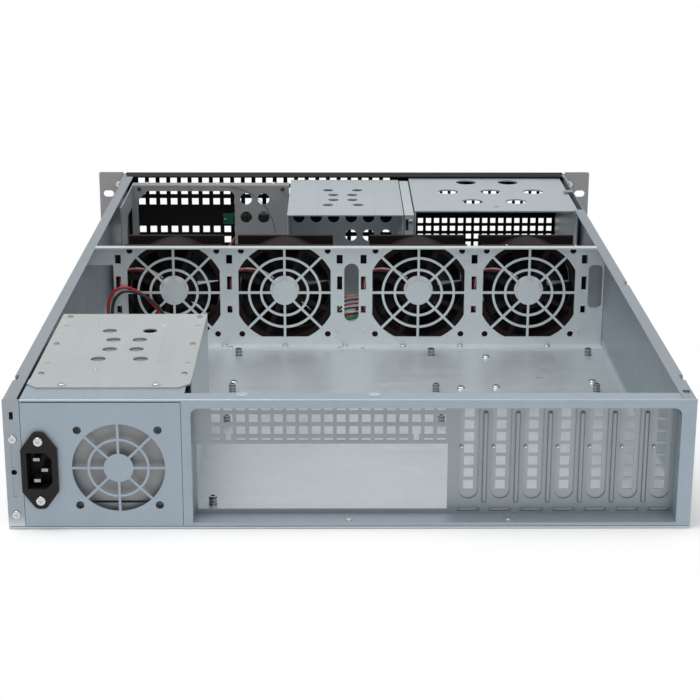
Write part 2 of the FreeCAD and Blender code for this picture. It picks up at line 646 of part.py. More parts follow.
def inlet_housing():
    """Moulded mains inlet: screw flange, body behind the plate and the socket for the plug."""
    flange = polygon_y([(INLET_X + x, INLET_Z + z) for x, z in
                        inlet_outline(INLET_W / 2, INLET_L / 2, INLET_BODY_L / 2)], INLET_FACE, 0)
    ends = [edge for edge in flange.Edges if edge.BoundBox.YLength > 1
            and abs(edge.BoundBox.Center.z - INLET_Z) > INLET_L / 2 - 1]
    flange = flange.makeFillet(4.0, ends)
    left = max(INLET_X - INLET_BODY_W / 2, -HALF + STRIP_W + 2 * GAP + 0.6)
    body = box(left, INLET_X + INLET_BODY_W / 2, -0.5, INLET_BODY_D,
               INLET_Z - INLET_BODY_L / 2, INLET_Z + INLET_BODY_L / 2)
    half_w, half_l, bevel = SOCKET_W / 2, SOCKET_L / 2, 4.0
    socket = polygon_y([(INLET_X - half_w, INLET_Z - half_l), (INLET_X + half_w - bevel, INLET_Z - half_l),
                        (INLET_X + half_w, INLET_Z - half_l + bevel), (INLET_X + half_w, INLET_Z + half_l - bevel),
                        (INLET_X + half_w - bevel, INLET_Z + half_l), (INLET_X - half_w, INLET_Z + half_l)],
                       INLET_FACE - 1, INLET_FACE + SOCKET_D)
    holes = [pin_y(INLET_X, INLET_Z + d * INLET_PITCH / 2, SCREW_R, INLET_FACE - 1, 1) for d in (-1, 1)]
    return cut(fuse([flange, body]), [socket] + holes)


def inlet_pins():
    """Three contact blades standing on the bottom of the socket."""
    y0 = INLET_FACE + SOCKET_D - PIN_OUT
    places = [(-1.9, -PIN_PITCH / 2), (-1.9, PIN_PITCH / 2), (3.0, 0)]
    pins = [box(INLET_X + dx - PIN_L / 2, INLET_X + dx + PIN_L / 2, y0, INLET_FACE + SOCKET_D,
                INLET_Z + dz - PIN_W / 2, INLET_Z + dz + PIN_W / 2) for dx, dz in places]
    return Part.Compound(pins)


def psu_box():
    """Walls of the power supply bay: two sides and a front, with rims on top and feet below."""
    top = CASE_H - THIN
    walls = [box(BOX_X0, BOX_X0 + THIN, BOX_Y0, BOX_Y1, SHEET, top),
             box(BOX_X1 - THIN, BOX_X1, BOX_Y0, BOX_Y1, SHEET, top),
             box(BOX_X0, BOX_X1, BOX_Y1 - THIN, BOX_Y1, SHEET, top)]
    rims = [box(BOX_X0, BOX_X0 + BOX_RIM, BOX_Y0, BOX_Y1, top - THIN, top),
            box(BOX_X1 - BOX_RIM, BOX_X1, BOX_Y0, BOX_Y1, top - THIN, top)]
    feet = [box(BOX_X0, BOX_X0 + BOX_FOOT, BOX_Y0, BOX_Y1, SHEET, SHEET + THIN),
            box(BOX_X1 - BOX_FOOT, BOX_X1, BOX_Y0, BOX_Y1, SHEET, SHEET + THIN)]
    lead = pin_y(BOX_LEAD_X, BOX_LEAD_Z, BOX_LEAD_R, *through(BOX_Y1 - THIN, BOX_Y1))
    return cut(fuse(walls + rims + feet), [lead])


def vent_holes(cx, cy, scale, z0, z1):
    """Eight round holes in the form of an hourglass."""
    return [pin_z(cx + side * dx * scale, cy + dy * scale, COVER_VENT_R, z0, z1)
            for dy, dx in VENT_ROWS for side in (-1, 1)]


def psu_cover():
    """Cover of the bay, stepped up at the rear onto the flange of the rear frame."""
    top = CASE_H
    plate = box(BOX_X0, BOX_X1, BOX_Y0, BOX_Y1, top - THIN, top)
    riser = box(BOX_X0, BOX_X1, BOX_Y0, BOX_Y0 + THIN, top - THIN, top + THIN)
    c = TONGUE_CUT
    tongue = polygon_z([(BOX_X0, BOX_Y0 + THIN), (BOX_X0, TONGUE_Y0 + c), (BOX_X0 + c, TONGUE_Y0),
                        (BOX_X1 - c, TONGUE_Y0), (BOX_X1, TONGUE_Y0 + c), (BOX_X1, BOX_Y0 + THIN)], top, top + THIN)
    cx, cy = (BOX_X0 + BOX_X1) / 2 + VENT_DX, (BOX_Y0 + BOX_Y1) / 2 + VENT_DY
    return cut(fuse([plate, riser, tongue]), vent_holes(cx, cy, 1.0, top - THIN - 1, top + 1))


# ---------------------------------------------------------------- fans

def fan_wall():
    """Wall across the case that carries four fans, with their guards pressed in it."""
    y0, y1 = WALL_Y, WALL_Y + SHEET
    edge = INNER - GAP
    lip = HALF - LIP_W - GAP
    plate = polygon_y([(-edge, SHEET), (edge, SHEET), (edge, CASE_H - SHEET - GAP), (lip, CASE_H - SHEET - GAP),
                       (lip, WALL_TOP), (-lip, WALL_TOP), (-lip, CASE_H - SHEET - GAP),
                       (-edge, CASE_H - SHEET - GAP)], y0, y1)
    flange = box(-lip, lip, y0 - WALL_FLANGE, y1, WALL_TOP - SHEET, WALL_TOP)
    foot = box(-edge, edge, y0 - WALL_FOOT, y1, SHEET, 2 * SHEET)
    span = through(y0, y1)
    tools = []
    rings = [(GRILLE_HUB_R, GRILLE_RINGS[0][0]), (GRILLE_RINGS[0][1], GRILLE_RINGS[1][0]),
             (GRILLE_RINGS[1][1], FAN_OPEN_R)]
    h = FAN_PITCH / 2
    for x in FAN_X:
        limit = box(x - FAN_OPEN_HALF, x + FAN_OPEN_HALF, y0 - 5, y1 + 5, FAN_Z - FAN_OPEN_HALF, FAN_Z + FAN_OPEN_HALF)
        tools.append(grille_windows(x, FAN_Z, rings, limit, GRILLE_BAR, *span))
        tools += [pin_y(x + dx, FAN_Z + dz, FAN_HOLE_R, *span) for dx in (-h, h) for dz in (-h, h)]
    for x in [x + SIDE_SLOT_DX for x in FAN_X] + [FAN_X[1] - SIDE_SLOT_DX, FAN_X[3] - SIDE_SLOT_DX]:
        tools += [box(x - w / 2, x + w / 2, *span, z - l / 2, z + l / 2) for z, w, l in SIDE_SLOTS]
    tools.append(oblong_y(SLOT_CX, FAN_Z, SLOT_CW / 2, SLOT_CH / 2, *span))
    right = box(HALF - POCKET_SIDE - POCKET_W, HALF - POCKET_SIDE, *span, POCKET_Z0, POCKET_Z1)
    tools.append(rounded(right, POCKET_R * 0.7, V(0, 1, 0)))
    left = box(-edge - 1, -HALF + POCKET_LEFT_SIDE, *span, POCKET_LEFT_Z0, POCKET_Z1)
    tools.append(left)
    return cut(fuse([plate, flange, foot]), tools)


def fan_frame(x):
    """Moulded fan frame: square flanges joined by a barrel, with the motor seat on four struts."""
    y0, y1 = FAN_FACE, FAN_FACE + FAN_DEPTH
    h = FAN_SIDE / 2
    block = box(x - h, x + h, y0, y1, FAN_Z - h, FAN_Z + h)
    pockets = box(x - h - 1, x + h + 1, y0 + FAN_FLANGE_T, y1 - FAN_FLANGE_T, FAN_Z - h - 1, FAN_Z + h + 1)
    pockets = pockets.cut(pin_y(x, FAN_Z, BORE_R + BARREL_WALL, y0, y1))
    groove = box(x - h - 1, x - h / 2, y0 - 1, y0 + GROOVE_D,
                 FAN_Z + GROOVE_Z - GROOVE_H / 2, FAN_Z + GROOVE_Z + GROOVE_H / 2)
    hollow = cut(block, [pockets, pin_y(x, FAN_Z, BORE_R, y0 - 1, y1 + 1), groove])
    seat_y = y0 + SEAT_GAP
    struts = []
    for k in range(4):
        strut = box(x, x + BORE_R + BARREL_WALL / 2, seat_y, seat_y + STRUT_T,
                    FAN_Z - STRUT_W / 2, FAN_Z + STRUT_W / 2)
        strut.rotate(V(x, 0, FAN_Z), V(0, 1, 0), 90 * k + 22.5)
        struts.append(strut)
    seat = pin_y(x, FAN_Z, MOTOR_R, seat_y, seat_y + MOTOR_T)
    bearing = pin_y(x, FAN_Z, SHAFT_R + SHAFT_FIT, seat_y + 1, y1)
    return fuse([hollow, seat] + struts).cut(bearing)


def fan_blade(x, angle):
    """One blade: a cambered strip set across the hub."""
    root, half = x + HUB_R - 1, BLADE_CHORD / 2
    start, mid, end = V(root, 0, -half), V(root, BLADE_CAMBER, 0), V(root, 0, half)
    shift = V(0, BLADE_T, 0)
    outline = Part.Wire([Part.Arc(start, mid, end).toShape(), Part.makeLine(end, end + shift),
                         Part.Arc(end + shift, mid + shift, start + shift).toShape(),
                         Part.makeLine(start + shift, start)])
    blade = Part.Face(outline).extrude(V(BORE_R - HUB_R + 1, 0, 0))
    blade.rotate(V(x, 0, 0), V(1, 0, 0), BLADE_ANGLE)
    blade.translate(V(0, FAN_FACE + FAN_DEPTH / 2, FAN_Z))
    blade.rotate(V(x, 0, FAN_Z), V(0, 1, 0), angle)
    return blade


def fan_rotor(x):
    """Hub with its shaft and the ring of blades, cut to the tip circle."""
    y0, y1 = FAN_FACE + SEAT_GAP + MOTOR_T + HUB_GAP, FAN_FACE + FAN_DEPTH - HUB_GAP
    hub = pin_y(x, FAN_Z, HUB_R, y0, y1)
    shaft = pin_y(x, FAN_Z, SHAFT_R, FAN_FACE + SEAT_GAP + 1 + GAP, y1)
    limit = pin_y(x, FAN_Z, BORE_R - TIP_GAP, y0, y1)
    blades = [fan_blade(x, 360 / BLADES * k).common(limit) for k in range(BLADES)]
    return fuse([hub, shaft] + blades)


# ---------------------------------------------------------------- front bay

def bulkhead_opening(y0, y1):
    """Large cable opening, cut off at one top corner and rounded at the other."""
    x0, x1, z0, z1, c = BULK_OPEN_X0, BULK_OPEN_X1, BULK_OPEN_Z0, BULK_OPEN_Z1, BULK_CHAMFER
    block = polygon_y([(x0, z0), (x1, z0), (x1, z1), (x0 + c, z1), (x0, z1 - c)], y0, y1)
    corner = [edge for edge in block.Edges if edge.BoundBox.YLength > 1
              and abs(edge.BoundBox.Center.x - x1) < 0.1 and abs(edge.BoundBox.Center.z - z1) < 0.1]
    return block.makeFillet(BULK_R, corner)


def front_bulkhead():
    """Bracket behind the front panel, folded back along the left side wall."""
    y0, y1 = BULK_Y, BULK_Y + SHEET
    plate = box(BULK_X0 - SHEET, BULK_X1, y0, y1, SHEET, BULK_TOP)
    flange = box(BULK_X0 - SHEET, BULK_X1, y0, y0 + BULK_FLANGE, BULK_TOP - SHEET, BULK_TOP)
    side = box(BULK_X0 - SHEET, BULK_X0, y0 - BULK_RETURN, y1, SHEET, BULK_TOP)
    foot = box(BULK_X0 - SHEET, BULK_X1, y0, y0 + BULK_FOOT, SHEET, 2 * SHEET)
    tools = [bulkhead_opening(*through(y0, y1))]
    tools += [pin_y(x, z, HOLE_R, *through(y0, y1))
              for x in run(HOLE_X, HOLE_PITCH_X, 2) for z in run(HOLE_Z, -HOLE_PITCH_Z, 2)]
    near, far = y0 - BULK_SIDE_RIM, y0 - BULK_SIDE_RIM - BULK_SIDE_L
    low, high = BULK_SIDE_Z, BULK_SIDE_Z + BULK_SIDE_H
    tools.append(polygon_x([(far, low), (near, low), (near, high), (far + BULK_SIDE_CUT, high),
                            (far, high - BULK_SIDE_CUT)], BULK_X0 - SHEET - 1, BULK_X0 + 1))
    return cut(fuse([plate, flange, side, foot]), tools)


def cage_walls(x0, x1, y0, y1, top, thickness):
    """Pair of side legs with feet on the floor and rims under the cover."""
    legs = []
    for x, inward in ((x0, 1), (x1, -1)):
        lo, hi = sorted((x, x + inward * thickness))
        legs.append(box(lo, hi, y0, y1, SHEET, top))
        lo, hi = sorted((x, x + inward * CAGE_FOOT))
        legs.append(box(lo, hi, y0, y1, SHEET, SHEET + thickness))
    return legs


def drive_cage():
    """Side legs of the middle drive cage and the back plate that ties them together."""
    top = CAGE_TOP - THIN
    legs = cage_walls(-CAGE_HALF, CAGE_HALF, CAGE_Y0, CAGE_Y1, top, THIN)
    back = box(-CAGE_HALF, CAGE_HALF, BULK_Y, BULK_Y + THIN, SHEET, top)
    columns = run(CAGE_BACK_HOLE_X, HOLE_PITCH_X, CAGE_BACK_COLS)
    rows = [(CAGE_BACK_Z, columns), (CAGE_BACK_Z - HOLE_PITCH_Z, columns[-CAGE_BACK_LOW_COLS:])]
    holes = [pin_y(x, z, HOLE_R, *through(BULK_Y, BULK_Y + THIN)) for z, row in rows for x in row]
    return cut(fuse(legs + [back]), holes)


def drive_cage_cover():
    """Cover of the middle cage with the hourglass of vent holes."""
    plate = box(-CAGE_HALF, CAGE_HALF, CAGE_Y0 - THIN, CAGE_Y1, CAGE_TOP - THIN, CAGE_TOP)
    cy = (CAGE_Y0 + CAGE_Y1) / 2 + CAGE_VENT_DY
    return cut(plate, vent_holes(CAGE_VENT_DX, cy, CAGE_VENT_SCALE, CAGE_TOP - THIN - 1, CAGE_TOP + 1))


def cage_divider():
    """Channel between the two cages, with a slotted rear face."""
    top = CAGE_TOP
    strip = box(DIV_X0, DIV_X1, DIV_Y0, DIV_Y1, top - THIN, top)
    face = box(DIV_X0, DIV_X1, DIV_Y0, DIV_Y0 + THIN, SHEET, top)
    leg = box(DIV_X1 - THIN, DIV_X1, DIV_Y0, DIV_Y1, SHEET, top)
    foot = box(DIV_X0, DIV_X1, DIV_Y0, DIV_Y1, SHEET, SHEET + THIN)
    slot = box(DIV_X0 + 0.8, DIV_X0 + 3.6, *through(DIV_Y0, DIV_Y0 + THIN),
               top - DIV_SLOT_DROP - DIV_SLOT_L, top - DIV_SLOT_DROP)
    return cut(fuse([strip, face, leg, foot]), [slot])


def bay_cage():
    """Right bay: a bridge folded from one sheet, with seven large lightening holes."""
    top = CAGE_TOP
    plate = box(BAY_X0, BAY_X1, BAY_Y0, BAY_Y1, top - SHEET, top)
    legs = cage_walls(BAY_X0, BAY_X1, BAY_Y0, BAY_Y1, top, SHEET)
    cx, cy = (BAY_X0 + BAY_X1) / 2 + BAY_HOLE_DX, (BAY_Y0 + BAY_Y1) / 2 + BAY_HOLE_DY
    holes = []
    for dy, count in ((BAY_HOLE_ROW, 2), (0, 3), (-BAY_HOLE_ROW, 2)):
        start = cx - BAY_HOLE_PITCH * (count - 1) / 2
        holes += [pin_z(x, cy + dy, BAY_HOLE_R, top - SHEET - 1, top + 1)
                  for x in run(start, BAY_HOLE_PITCH, count)]
    holes += [hole_z(cx, y, BAY_SLOT_W, BAY_SLOT_L, top - SHEET, top)
              for y in (cy - BAY_SLOT_DY, cy + BAY_SLOT_DY)]
    return cut(fuse([plate] + legs), holes)


def front_panel():
    """Front sheet with its folded top and foot, and two fields of square vents."""
    y0, y1 = FRONT_Y, PANEL_FACE
    plate = box(-PANEL_HALF, PANEL_HALF, y0, y1, 0, CASE_H)
    corners = [edge for edge in plate.Edges if edge.BoundBox.YLength > 1 and edge.BoundBox.ZMin > CASE_H - 0.1]
    plate = plate.makeFillet(PANEL_CORNER_R, corners)
    end = PANEL_HALF - PANEL_CORNER_R
    top = box(-end, end, y0 - PANEL_RETURN, y1, CASE_H - SHEET, CASE_H)
    foot = box(-INNER + GAP, INNER - GAP, y0 - PANEL_FOOT, y1, SHEET, 2 * SHEET)
    span = through(y0, y1)
    coarse_rows = (run(COARSE_UPPER_Z, -COARSE_PITCH, COARSE_UPPER_ROWS)
                   + run(COARSE_LOWER_Z, -COARSE_PITCH, COARSE_LOWER_ROWS))
    fine_rows = run(FINE_UPPER_Z, -FINE_PITCH, FINE_UPPER_ROWS) + run(FINE_LOWER_Z, -FINE_PITCH, FINE_LOWER_ROWS)
    tools = squares_y(run(COARSE_FIRST_X, COARSE_PITCH, COARSE_COLS), coarse_rows, COARSE, *span)
    tools += squares_y(run(FINE_FIRST_X, FINE_PITCH, FINE_COLS), fine_rows, FINE, *span)
    tools += [pin_y(POWER_X, BUTTON_Z, POWER_R + BUTTON_FIT, *span),
              pin_y(RESET_X, BUTTON_Z, RESET_R + BUTTON_FIT, *span)]
    tools += [pin_y(x, BUTTON_Z, LIGHT_R + GAP / 2, *span) for x in run(LIGHT_X, LIGHT_PITCH, 2)]
    tools.append(box(USB_X - USB_W / 2 - GAP, USB_X + USB_W / 2 + GAP, *span,
                     BUTTON_Z - USB_H / 2 - GAP, BUTTON_Z + USB_H / 2 + GAP))
    return cut(fuse([plate, top, foot]), tools)


def rack_ear(side):
    """Rack ear: a plate with two slots and a leg along the outside of the side wall."""
    x0, x1 = HALF, HALF + EAR_W
    plate = box(x0, x1, CASE_L, CASE_L + EAR_T, 0, EAR_H)
    corners = [edge for edge in plate.Edges if edge.BoundBox.YLength > 1 and edge.BoundBox.XMin > x1 - 0.1]
    plate = plate.makeFillet(EAR_CORNER_R, corners)
    leg = box(x0, x0 + EAR_T, CASE_L - EAR_LEG_L, CASE_L + EAR_T, 0, CASE_H - SHEET - GAP)
    relief = box(x0 - 1, PANEL_HALF + GAP, CASE_L - EAR_LEG_L, CASE_L + EAR_T + 1, CASE_H - SHEET - GAP, EAR_H + 1)
    z = CASE_H / 2
    tools = [oblong_y(EAR_SLOT_X, z + d * EAR_SLOT_H / 2, EAR_SLOT_R + EAR_SLOT_L / 2, EAR_SLOT_R,
                      *through(CASE_L, CASE_L + EAR_T)) for d in (-1, 1)]
    tools += [pin_y(HANDLE_X, z + d * HANDLE_PITCH / 2, SCREW_R, *through(CASE_L, CASE_L + EAR_T))
              for d in (-1, 1)]
    ear = cut(fuse([plate, leg]), tools + [relief])
    return ear if side > 0 else ear.mirror(V(0, 0, 0), V(1, 0, 0))


def handle(side):
    """Front handle: a bar bent to a square U, standing on the ear."""
    y0, y1 = FRONT_Y, REACH_Y
    z = CASE_H / 2
    outer = HANDLE_PITCH / 2 + HANDLE_BAR / 2
    inner = HANDLE_PITCH / 2 - HANDLE_BAR / 2
    x0, x1 = HANDLE_X - HANDLE_BAR / 2, HANDLE_X + HANDLE_BAR / 2
    solid = box(x0, x1, y0, y1, z - outer, z + outer)
    ends = [edge for edge in solid.Edges if edge.BoundBox.XLength > 1 and edge.BoundBox.YMin > y1 - 0.1]
    solid = solid.makeFillet(HANDLE_BEND, ends)
    hollow = box(x0 - 1, x1 + 1, y0 - 1, y1 - HANDLE_BAR, z - inner, z + inner)
    ends = [edge for edge in hollow.Edges if edge.BoundBox.XLength > 1 and edge.BoundBox.YMin > y1 - HANDLE_BAR - 0.1]
    hollow = hollow.makeFillet(HANDLE_BEND - HANDLE_BAR / 2, ends)
    holes = [pin_y(HANDLE_X, z + d * HANDLE_PITCH / 2, SCREW_R, y0 - 1, y0 + SCREW_DEPTH + 1) for d in (-1, 1)]
    bar = cut(solid, [hollow] + holes)
    return bar if side > 0 else bar.mirror(V(0, 0, 0), V(1, 0, 0))


# ---------------------------------------------------------------- front board

def board_y():
    """Front face of the switch board."""
    return FRONT_Y - BOARD_SETBACK


def switch_body(x):
    """Push switch on the board, with the bore that the button's stem slides in."""
    y0 = board_y()
    h = SWITCH_SIDE / 2
    body = box(x - h, x + h, y0, y0 + SWITCH_H, BUTTON_Z - h, BUTTON_Z + h)
    return body.cut(pin_y(x, BUTTON_Z, BUTTON_STEM_R + BUTTON_FIT / 2, y0 + 1, y0 + SWITCH_H + 1))


def post_centres():
    """X of the two posts of the board."""
    return (BOARD_X0 + POST_INSET, BOARD_X1 - POST_INSET)


def front_board():
    """Circuit board that carries the switches, lights and sockets."""
    y1 = board_y()
    board = box(BOARD_X0, BOARD_X1, y1 - BOARD_T, y1, BOARD_Z0, BOARD_Z1)
    holes = [pin_y(x, BUTTON_Z, POST_SCREW_R, *through(y1 - BOARD_T, y1)) for x in post_centres()]
    return board.cut(Part.Compound(holes))


def board_posts():
    """Threaded posts that hold the board to the front panel."""
    y1 = board_y()
    posts = []
    for x in post_centres():
        post = pin_y(x, BUTTON_Z, POST_R, y1, FRONT_Y)
        posts.append(post.fuse(pin_y(x, BUTTON_Z, POST_SCREW_R, y1 - BOARD_T - SCREW_TIP, y1)))
    return Part.Compound(posts)


def button(x, radius):
    """Button cap with its flange behind the panel and the stem in the switch."""
    y0 = board_y()
    cap = pin_y(x, BUTTON_Z, radius, FRONT_Y - 0.6, PANEL_FACE + BUTTON_PROUD)
    flange = pin_y(x, BUTTON_Z, radius + 0.9, FRONT_Y - 1.2 - GAP, FRONT_Y - GAP)
    stem = pin_y(x, BUTTON_Z, BUTTON_STEM_R, y0 + 1.6 + BUTTON_TRAVEL, FRONT_Y - 1)
    return fuse([cap, flange, stem])


def status_light(x):
    """Small lamp standing on the board and reaching through the panel."""
    return pin_y(x, BUTTON_Z, LIGHT_R, board_y(), PANEL_FACE + LIGHT_R / 2)


def usb_shell():
    """Metal shell of a USB socket, open to the front."""
    y0 = board_y()
    w, h, t = USB_W / 2, USB_H / 2, 0.4
    shell = box(USB_X - w, USB_X + w, y0, PANEL_FACE, BUTTON_Z - h, BUTTON_Z + h)
    return shell.cut(box(USB_X - w + t, USB_X + w - t, y0 + 1, PANEL_FACE + 1, BUTTON_Z - h + t, BUTTON_Z + h - t))


# ---------------------------------------------------------------- small fittings

def screw_y(x, z, face, inward, grip):
    """Pan-head screw along Y; the head lies on the face and the shank goes inward."""
    head = sorted((face, face - inward * SCREW_HEAD_T))
    shank = sorted((face, face + inward * grip))
    return pin_y(x, z, SCREW_HEAD_R, *head).fuse(pin_y(x, z, SCREW_R, *shank))


def standoffs():
    """Hexagonal board standoffs pressed into the floor."""
    posts = []
    for x, y in [(x, y) for x in STANDOFF_X for y in STANDOFF_Y]:
        corners = [V(x + STANDOFF_R * math.cos(math.radians(60 * k)),
                     y + STANDOFF_R * math.sin(math.radians(60 * k)), SHEET) for k in range(7)]
        posts.append(Part.Face(Part.makePolygon(corners)).extrude(V(0, 0, STANDOFF_H)))
    return Part.Compound(posts)


def handle_screws():
    """Screws through the ears into the handles."""
    z = CASE_H / 2
    return Part.Compound([screw_y(side * HANDLE_X, z + d * HANDLE_PITCH / 2, CASE_L, 1, EAR_T + SCREW_DEPTH)
                          for side in (-1, 1) for d in (-1, 1)])


def inlet_screws():
    """Screws through the inlet flange."""
    return Part.Compound([screw_y(INLET_X, INLET_Z + d * INLET_PITCH / 2, INLET_FACE, 1,
                                   INLET_FLANGE_T + SHEET + SCREW_TIP)
                          for d in (-1, 1)])


# ---------------------------------------------------------------- wires

def tube(name, points, radius):
    """Tube of straight runs joined by tangent arcs, along a route that stays in hand-set points."""
    corners = [V(*point) for point in points]
    here = corners[0]
    edges = []
    tightest = 1e9
    for before, corner, after in zip(corners, corners[1:], corners[2:]):
        back, ahead = before - corner, after - corner
        reach = 0.45 * min(back.Length, ahead.Length)
        back.normalize()
        ahead.normalize()
        half_turn = (math.pi - back.getAngle(ahead)) / 2
        bend = reach / math.tan(half_turn)
        tightest = min(tightest, bend)
        inward = back + ahead
        inward.normalize()
        start, end = corner + back * reach, corner + ahead * reach
        middle = corner + inward * (bend / math.cos(half_turn) - bend)
        edges += [Part.makeLine(here, start), Part.Arc(start, middle, end).toShape()]
        here = end
    edges.append(Part.makeLine(here, corners[-1]))
    path = Part.Wire(edges)
    circle = Part.Wire([Part.makeCircle(radius, corners[0], corners[1] - corners[0])])
    solid = path.makePipe(Part.Face(circle))
    ratio = solid.Volume / (math.pi * radius ** 2 * path.Length)
    print("%s: length %.0f, tightest bend %.1f of %.1f across, volume ratio %.3f"
          % (name, path.Length, tightest, 2 * radius, ratio))
    return solid


def power_lead(name, route, z):
    """Lead from the back of the inlet, through the box and over the loop, to the plug on the floor."""
    start = (INLET_X - 1.9, INLET_BODY_D, z)
    end = (route[-1][0], PLUG_FACE_Y, PLUG_Z)
    return tube(name, (start,) + route + (end,), WIRE_R)


def power_plug():
    """Four-way power plug lying on the floor behind the box."""
    x0 = RED_ROUTE[-1][0] - 7
    block = box(x0, x0 + 20, PLUG_FACE_Y - 22, PLUG_FACE_Y, SHEET, SHEET + 11)
    holes = [box(x - 1.6, x + 1.6, PLUG_FACE_Y - 23, PLUG_FACE_Y - 12, PLUG_Z - 1.6, PLUG_Z + 1.6)
             for x in run(x0 + 3.2, 4.5, 4)]
    return cut(block, holes)


def fan_lead(x):
    """Lead of one fan, from the motor seat through the groove and down to its plug on the floor."""
    bottom = SHEET + FAN_PLUG[2]
    start = (x - 9.0, FAN_FACE + FAN_LEAD[0][1], FAN_Z + 10.4)
    points = [(x + dx, FAN_FACE + dy, FAN_Z + dz) for dx, dy, dz in FAN_LEAD]
    end = (points[-1][0], points[-1][1], bottom)
    return tube("fan lead", [start] + points + [end], FAN_WIRE_R)


def fan_plug(x):
    """Plug of one fan lead, standing on the floor between the fans."""
    cx, cy = x + FAN_LEAD[-1][0], FAN_FACE + FAN_LEAD[-1][1]
    w, d, h = FAN_PLUG
    return box(cx - w / 2, cx + w / 2, cy - d / 2, cy + d / 2, SHEET, SHEET + h)


def front_leads():
    """Wires of the front panel, from their plug round behind the middle slot to the switch board."""
    start = (BUNDLE_ROUTE[0][0], BUNDLE_PLUG_Y, SHEET + BUNDLE_PLUG[2] / 2)
    end = (BUNDLE_END_X, board_y() - BOARD_T, BUNDLE_END_Z)
    return tube("front leads", (start,) + BUNDLE_ROUTE + (end,), BUNDLE_R)


def leads_plug():
    """Plug of the front leads, standing on the floor between the middle fans."""
    x = BUNDLE_ROUTE[0][0]
    w, d, h = BUNDLE_PLUG
    return box(x - w / 2, x + w / 2, BUNDLE_PLUG_Y, BUNDLE_PLUG_Y + d, SHEET, SHEET + h)


def moved(shape):
    """Shape in the frame of the finished part."""
    result = shape.copy()
    result.translate(V(0, -ORIGIN_Y, 0))
    return result


def pieces():
    """Every piece under its name."""
    parts = {
        "chassis_tray": chassis_tray(),
        "rear_frame": rear_frame(),
        "io_slot_panel": io_slot_panel(),
        "psu_rear_plate": psu_rear_plate(),
        "psu_box": psu_box(),
        "psu_cover": psu_cover(),
        "inlet_housing": inlet_housing(),
        "inlet_pins": inlet_pins(),
        "inlet_screws": inlet_screws(),
        "fan_wall": fan_wall(),
        "front_bulkhead": front_bulkhead(),
        "drive_cage": drive_cage(),
        "drive_cage_cover": drive_cage_cover(),
        "cage_divider": cage_divider(),
        "bay_cage": bay_cage(),
        "front_panel": front_panel(),
        "ear_left": rack_ear(-1),
        "ear_right": rack_ear(1),
        "handle_left": handle(-1),
        "handle_right": handle(1),
        "handle_screws": handle_screws(),
        "front_board": front_board(),
        "board_posts": board_posts(),
        "power_switch": switch_body(POWER_X),
        "reset_switch": switch_body(RESET_X),
        "power_button": button(POWER_X, POWER_R),
        "reset_button": button(RESET_X, RESET_R),
        "power_light": status_light(LIGHT_X),
        "drive_light": status_light(LIGHT_X + LIGHT_PITCH),
        "usb_socket": usb_shell(),
        "standoffs": standoffs(),
        "power_plug": power_plug(),
        "leads_plug": leads_plug(),
        "front_leads": front_leads(),
    }
    for k, x in enumerate(slot_centres()):
        parts["slot_cover_%d" % (k + 1)] = slot_cover(x)
    for k, x in enumerate(FAN_X):
        parts["fan_frame_%d" % (k + 1)] = fan_frame(x)
        parts["fan_rotor_%d" % (k + 1)] = fan_rotor(x)
        parts["fan_lead_%d" % (k + 1)] = fan_lead(x)
        parts["fan_plug_%d" % (k + 1)] = fan_plug(x)
    for name, route, z in (("power_lead_red", RED_ROUTE, 1), ("power_lead_black", BLACK_ROUTE, -1)):
        parts[name] = power_lead(name, route, INLET_Z + z * PIN_PITCH / 2)
    return parts


def main():
    """Write one STEP file for each piece."""
    os.makedirs("parts", exist_ok=True)
    for name, shape in pieces().items():
        moved(shape).exportStep("parts/%s.step" % name)
        print(name, len(shape.Solids), shape.isValid())


main()
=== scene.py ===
"""Dresses the open rackmount server case: sheet metal and plastic finishes, wires, fasteners and studio.

Lengths are in metres, and the classes of the case's sub-assemblies hold theirs in millimetres, measured
as on the bench: X to the right seen from behind, Y from the rear face towards the front, Z up.
"""

import logging
import math
from dataclasses import dataclass
from enum import Enum
from typing import Callable, Iterable, Optional, Sequence, Union

import bmesh
import bpy
from mathutils import Matrix, Vector


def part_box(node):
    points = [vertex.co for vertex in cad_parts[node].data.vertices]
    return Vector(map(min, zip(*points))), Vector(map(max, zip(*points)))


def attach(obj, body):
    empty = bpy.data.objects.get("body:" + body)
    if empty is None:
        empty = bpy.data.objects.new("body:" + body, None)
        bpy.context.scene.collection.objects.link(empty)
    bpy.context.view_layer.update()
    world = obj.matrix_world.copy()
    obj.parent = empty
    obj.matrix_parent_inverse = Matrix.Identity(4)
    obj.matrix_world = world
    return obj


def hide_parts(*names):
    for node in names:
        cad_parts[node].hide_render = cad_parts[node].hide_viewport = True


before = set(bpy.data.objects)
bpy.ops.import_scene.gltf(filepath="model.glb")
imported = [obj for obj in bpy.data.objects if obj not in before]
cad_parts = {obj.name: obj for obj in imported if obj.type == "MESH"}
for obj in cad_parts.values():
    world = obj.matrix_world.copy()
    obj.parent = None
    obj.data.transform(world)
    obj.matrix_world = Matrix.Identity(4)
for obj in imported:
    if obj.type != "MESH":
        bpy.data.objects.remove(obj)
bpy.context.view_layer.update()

LOG = logging.getLogger("server_case")
MM = 0.001
CASE = "case"
FAN_COLUMNS = (-142.8, -51.1, 59.8, 151.5)
FAN_HEIGHT = 47.4
NEARLY = 0.99

Point = tuple[float, float, float]
Colour = tuple[float, float, float]


# ---------------------------------------------------------------- shader maths

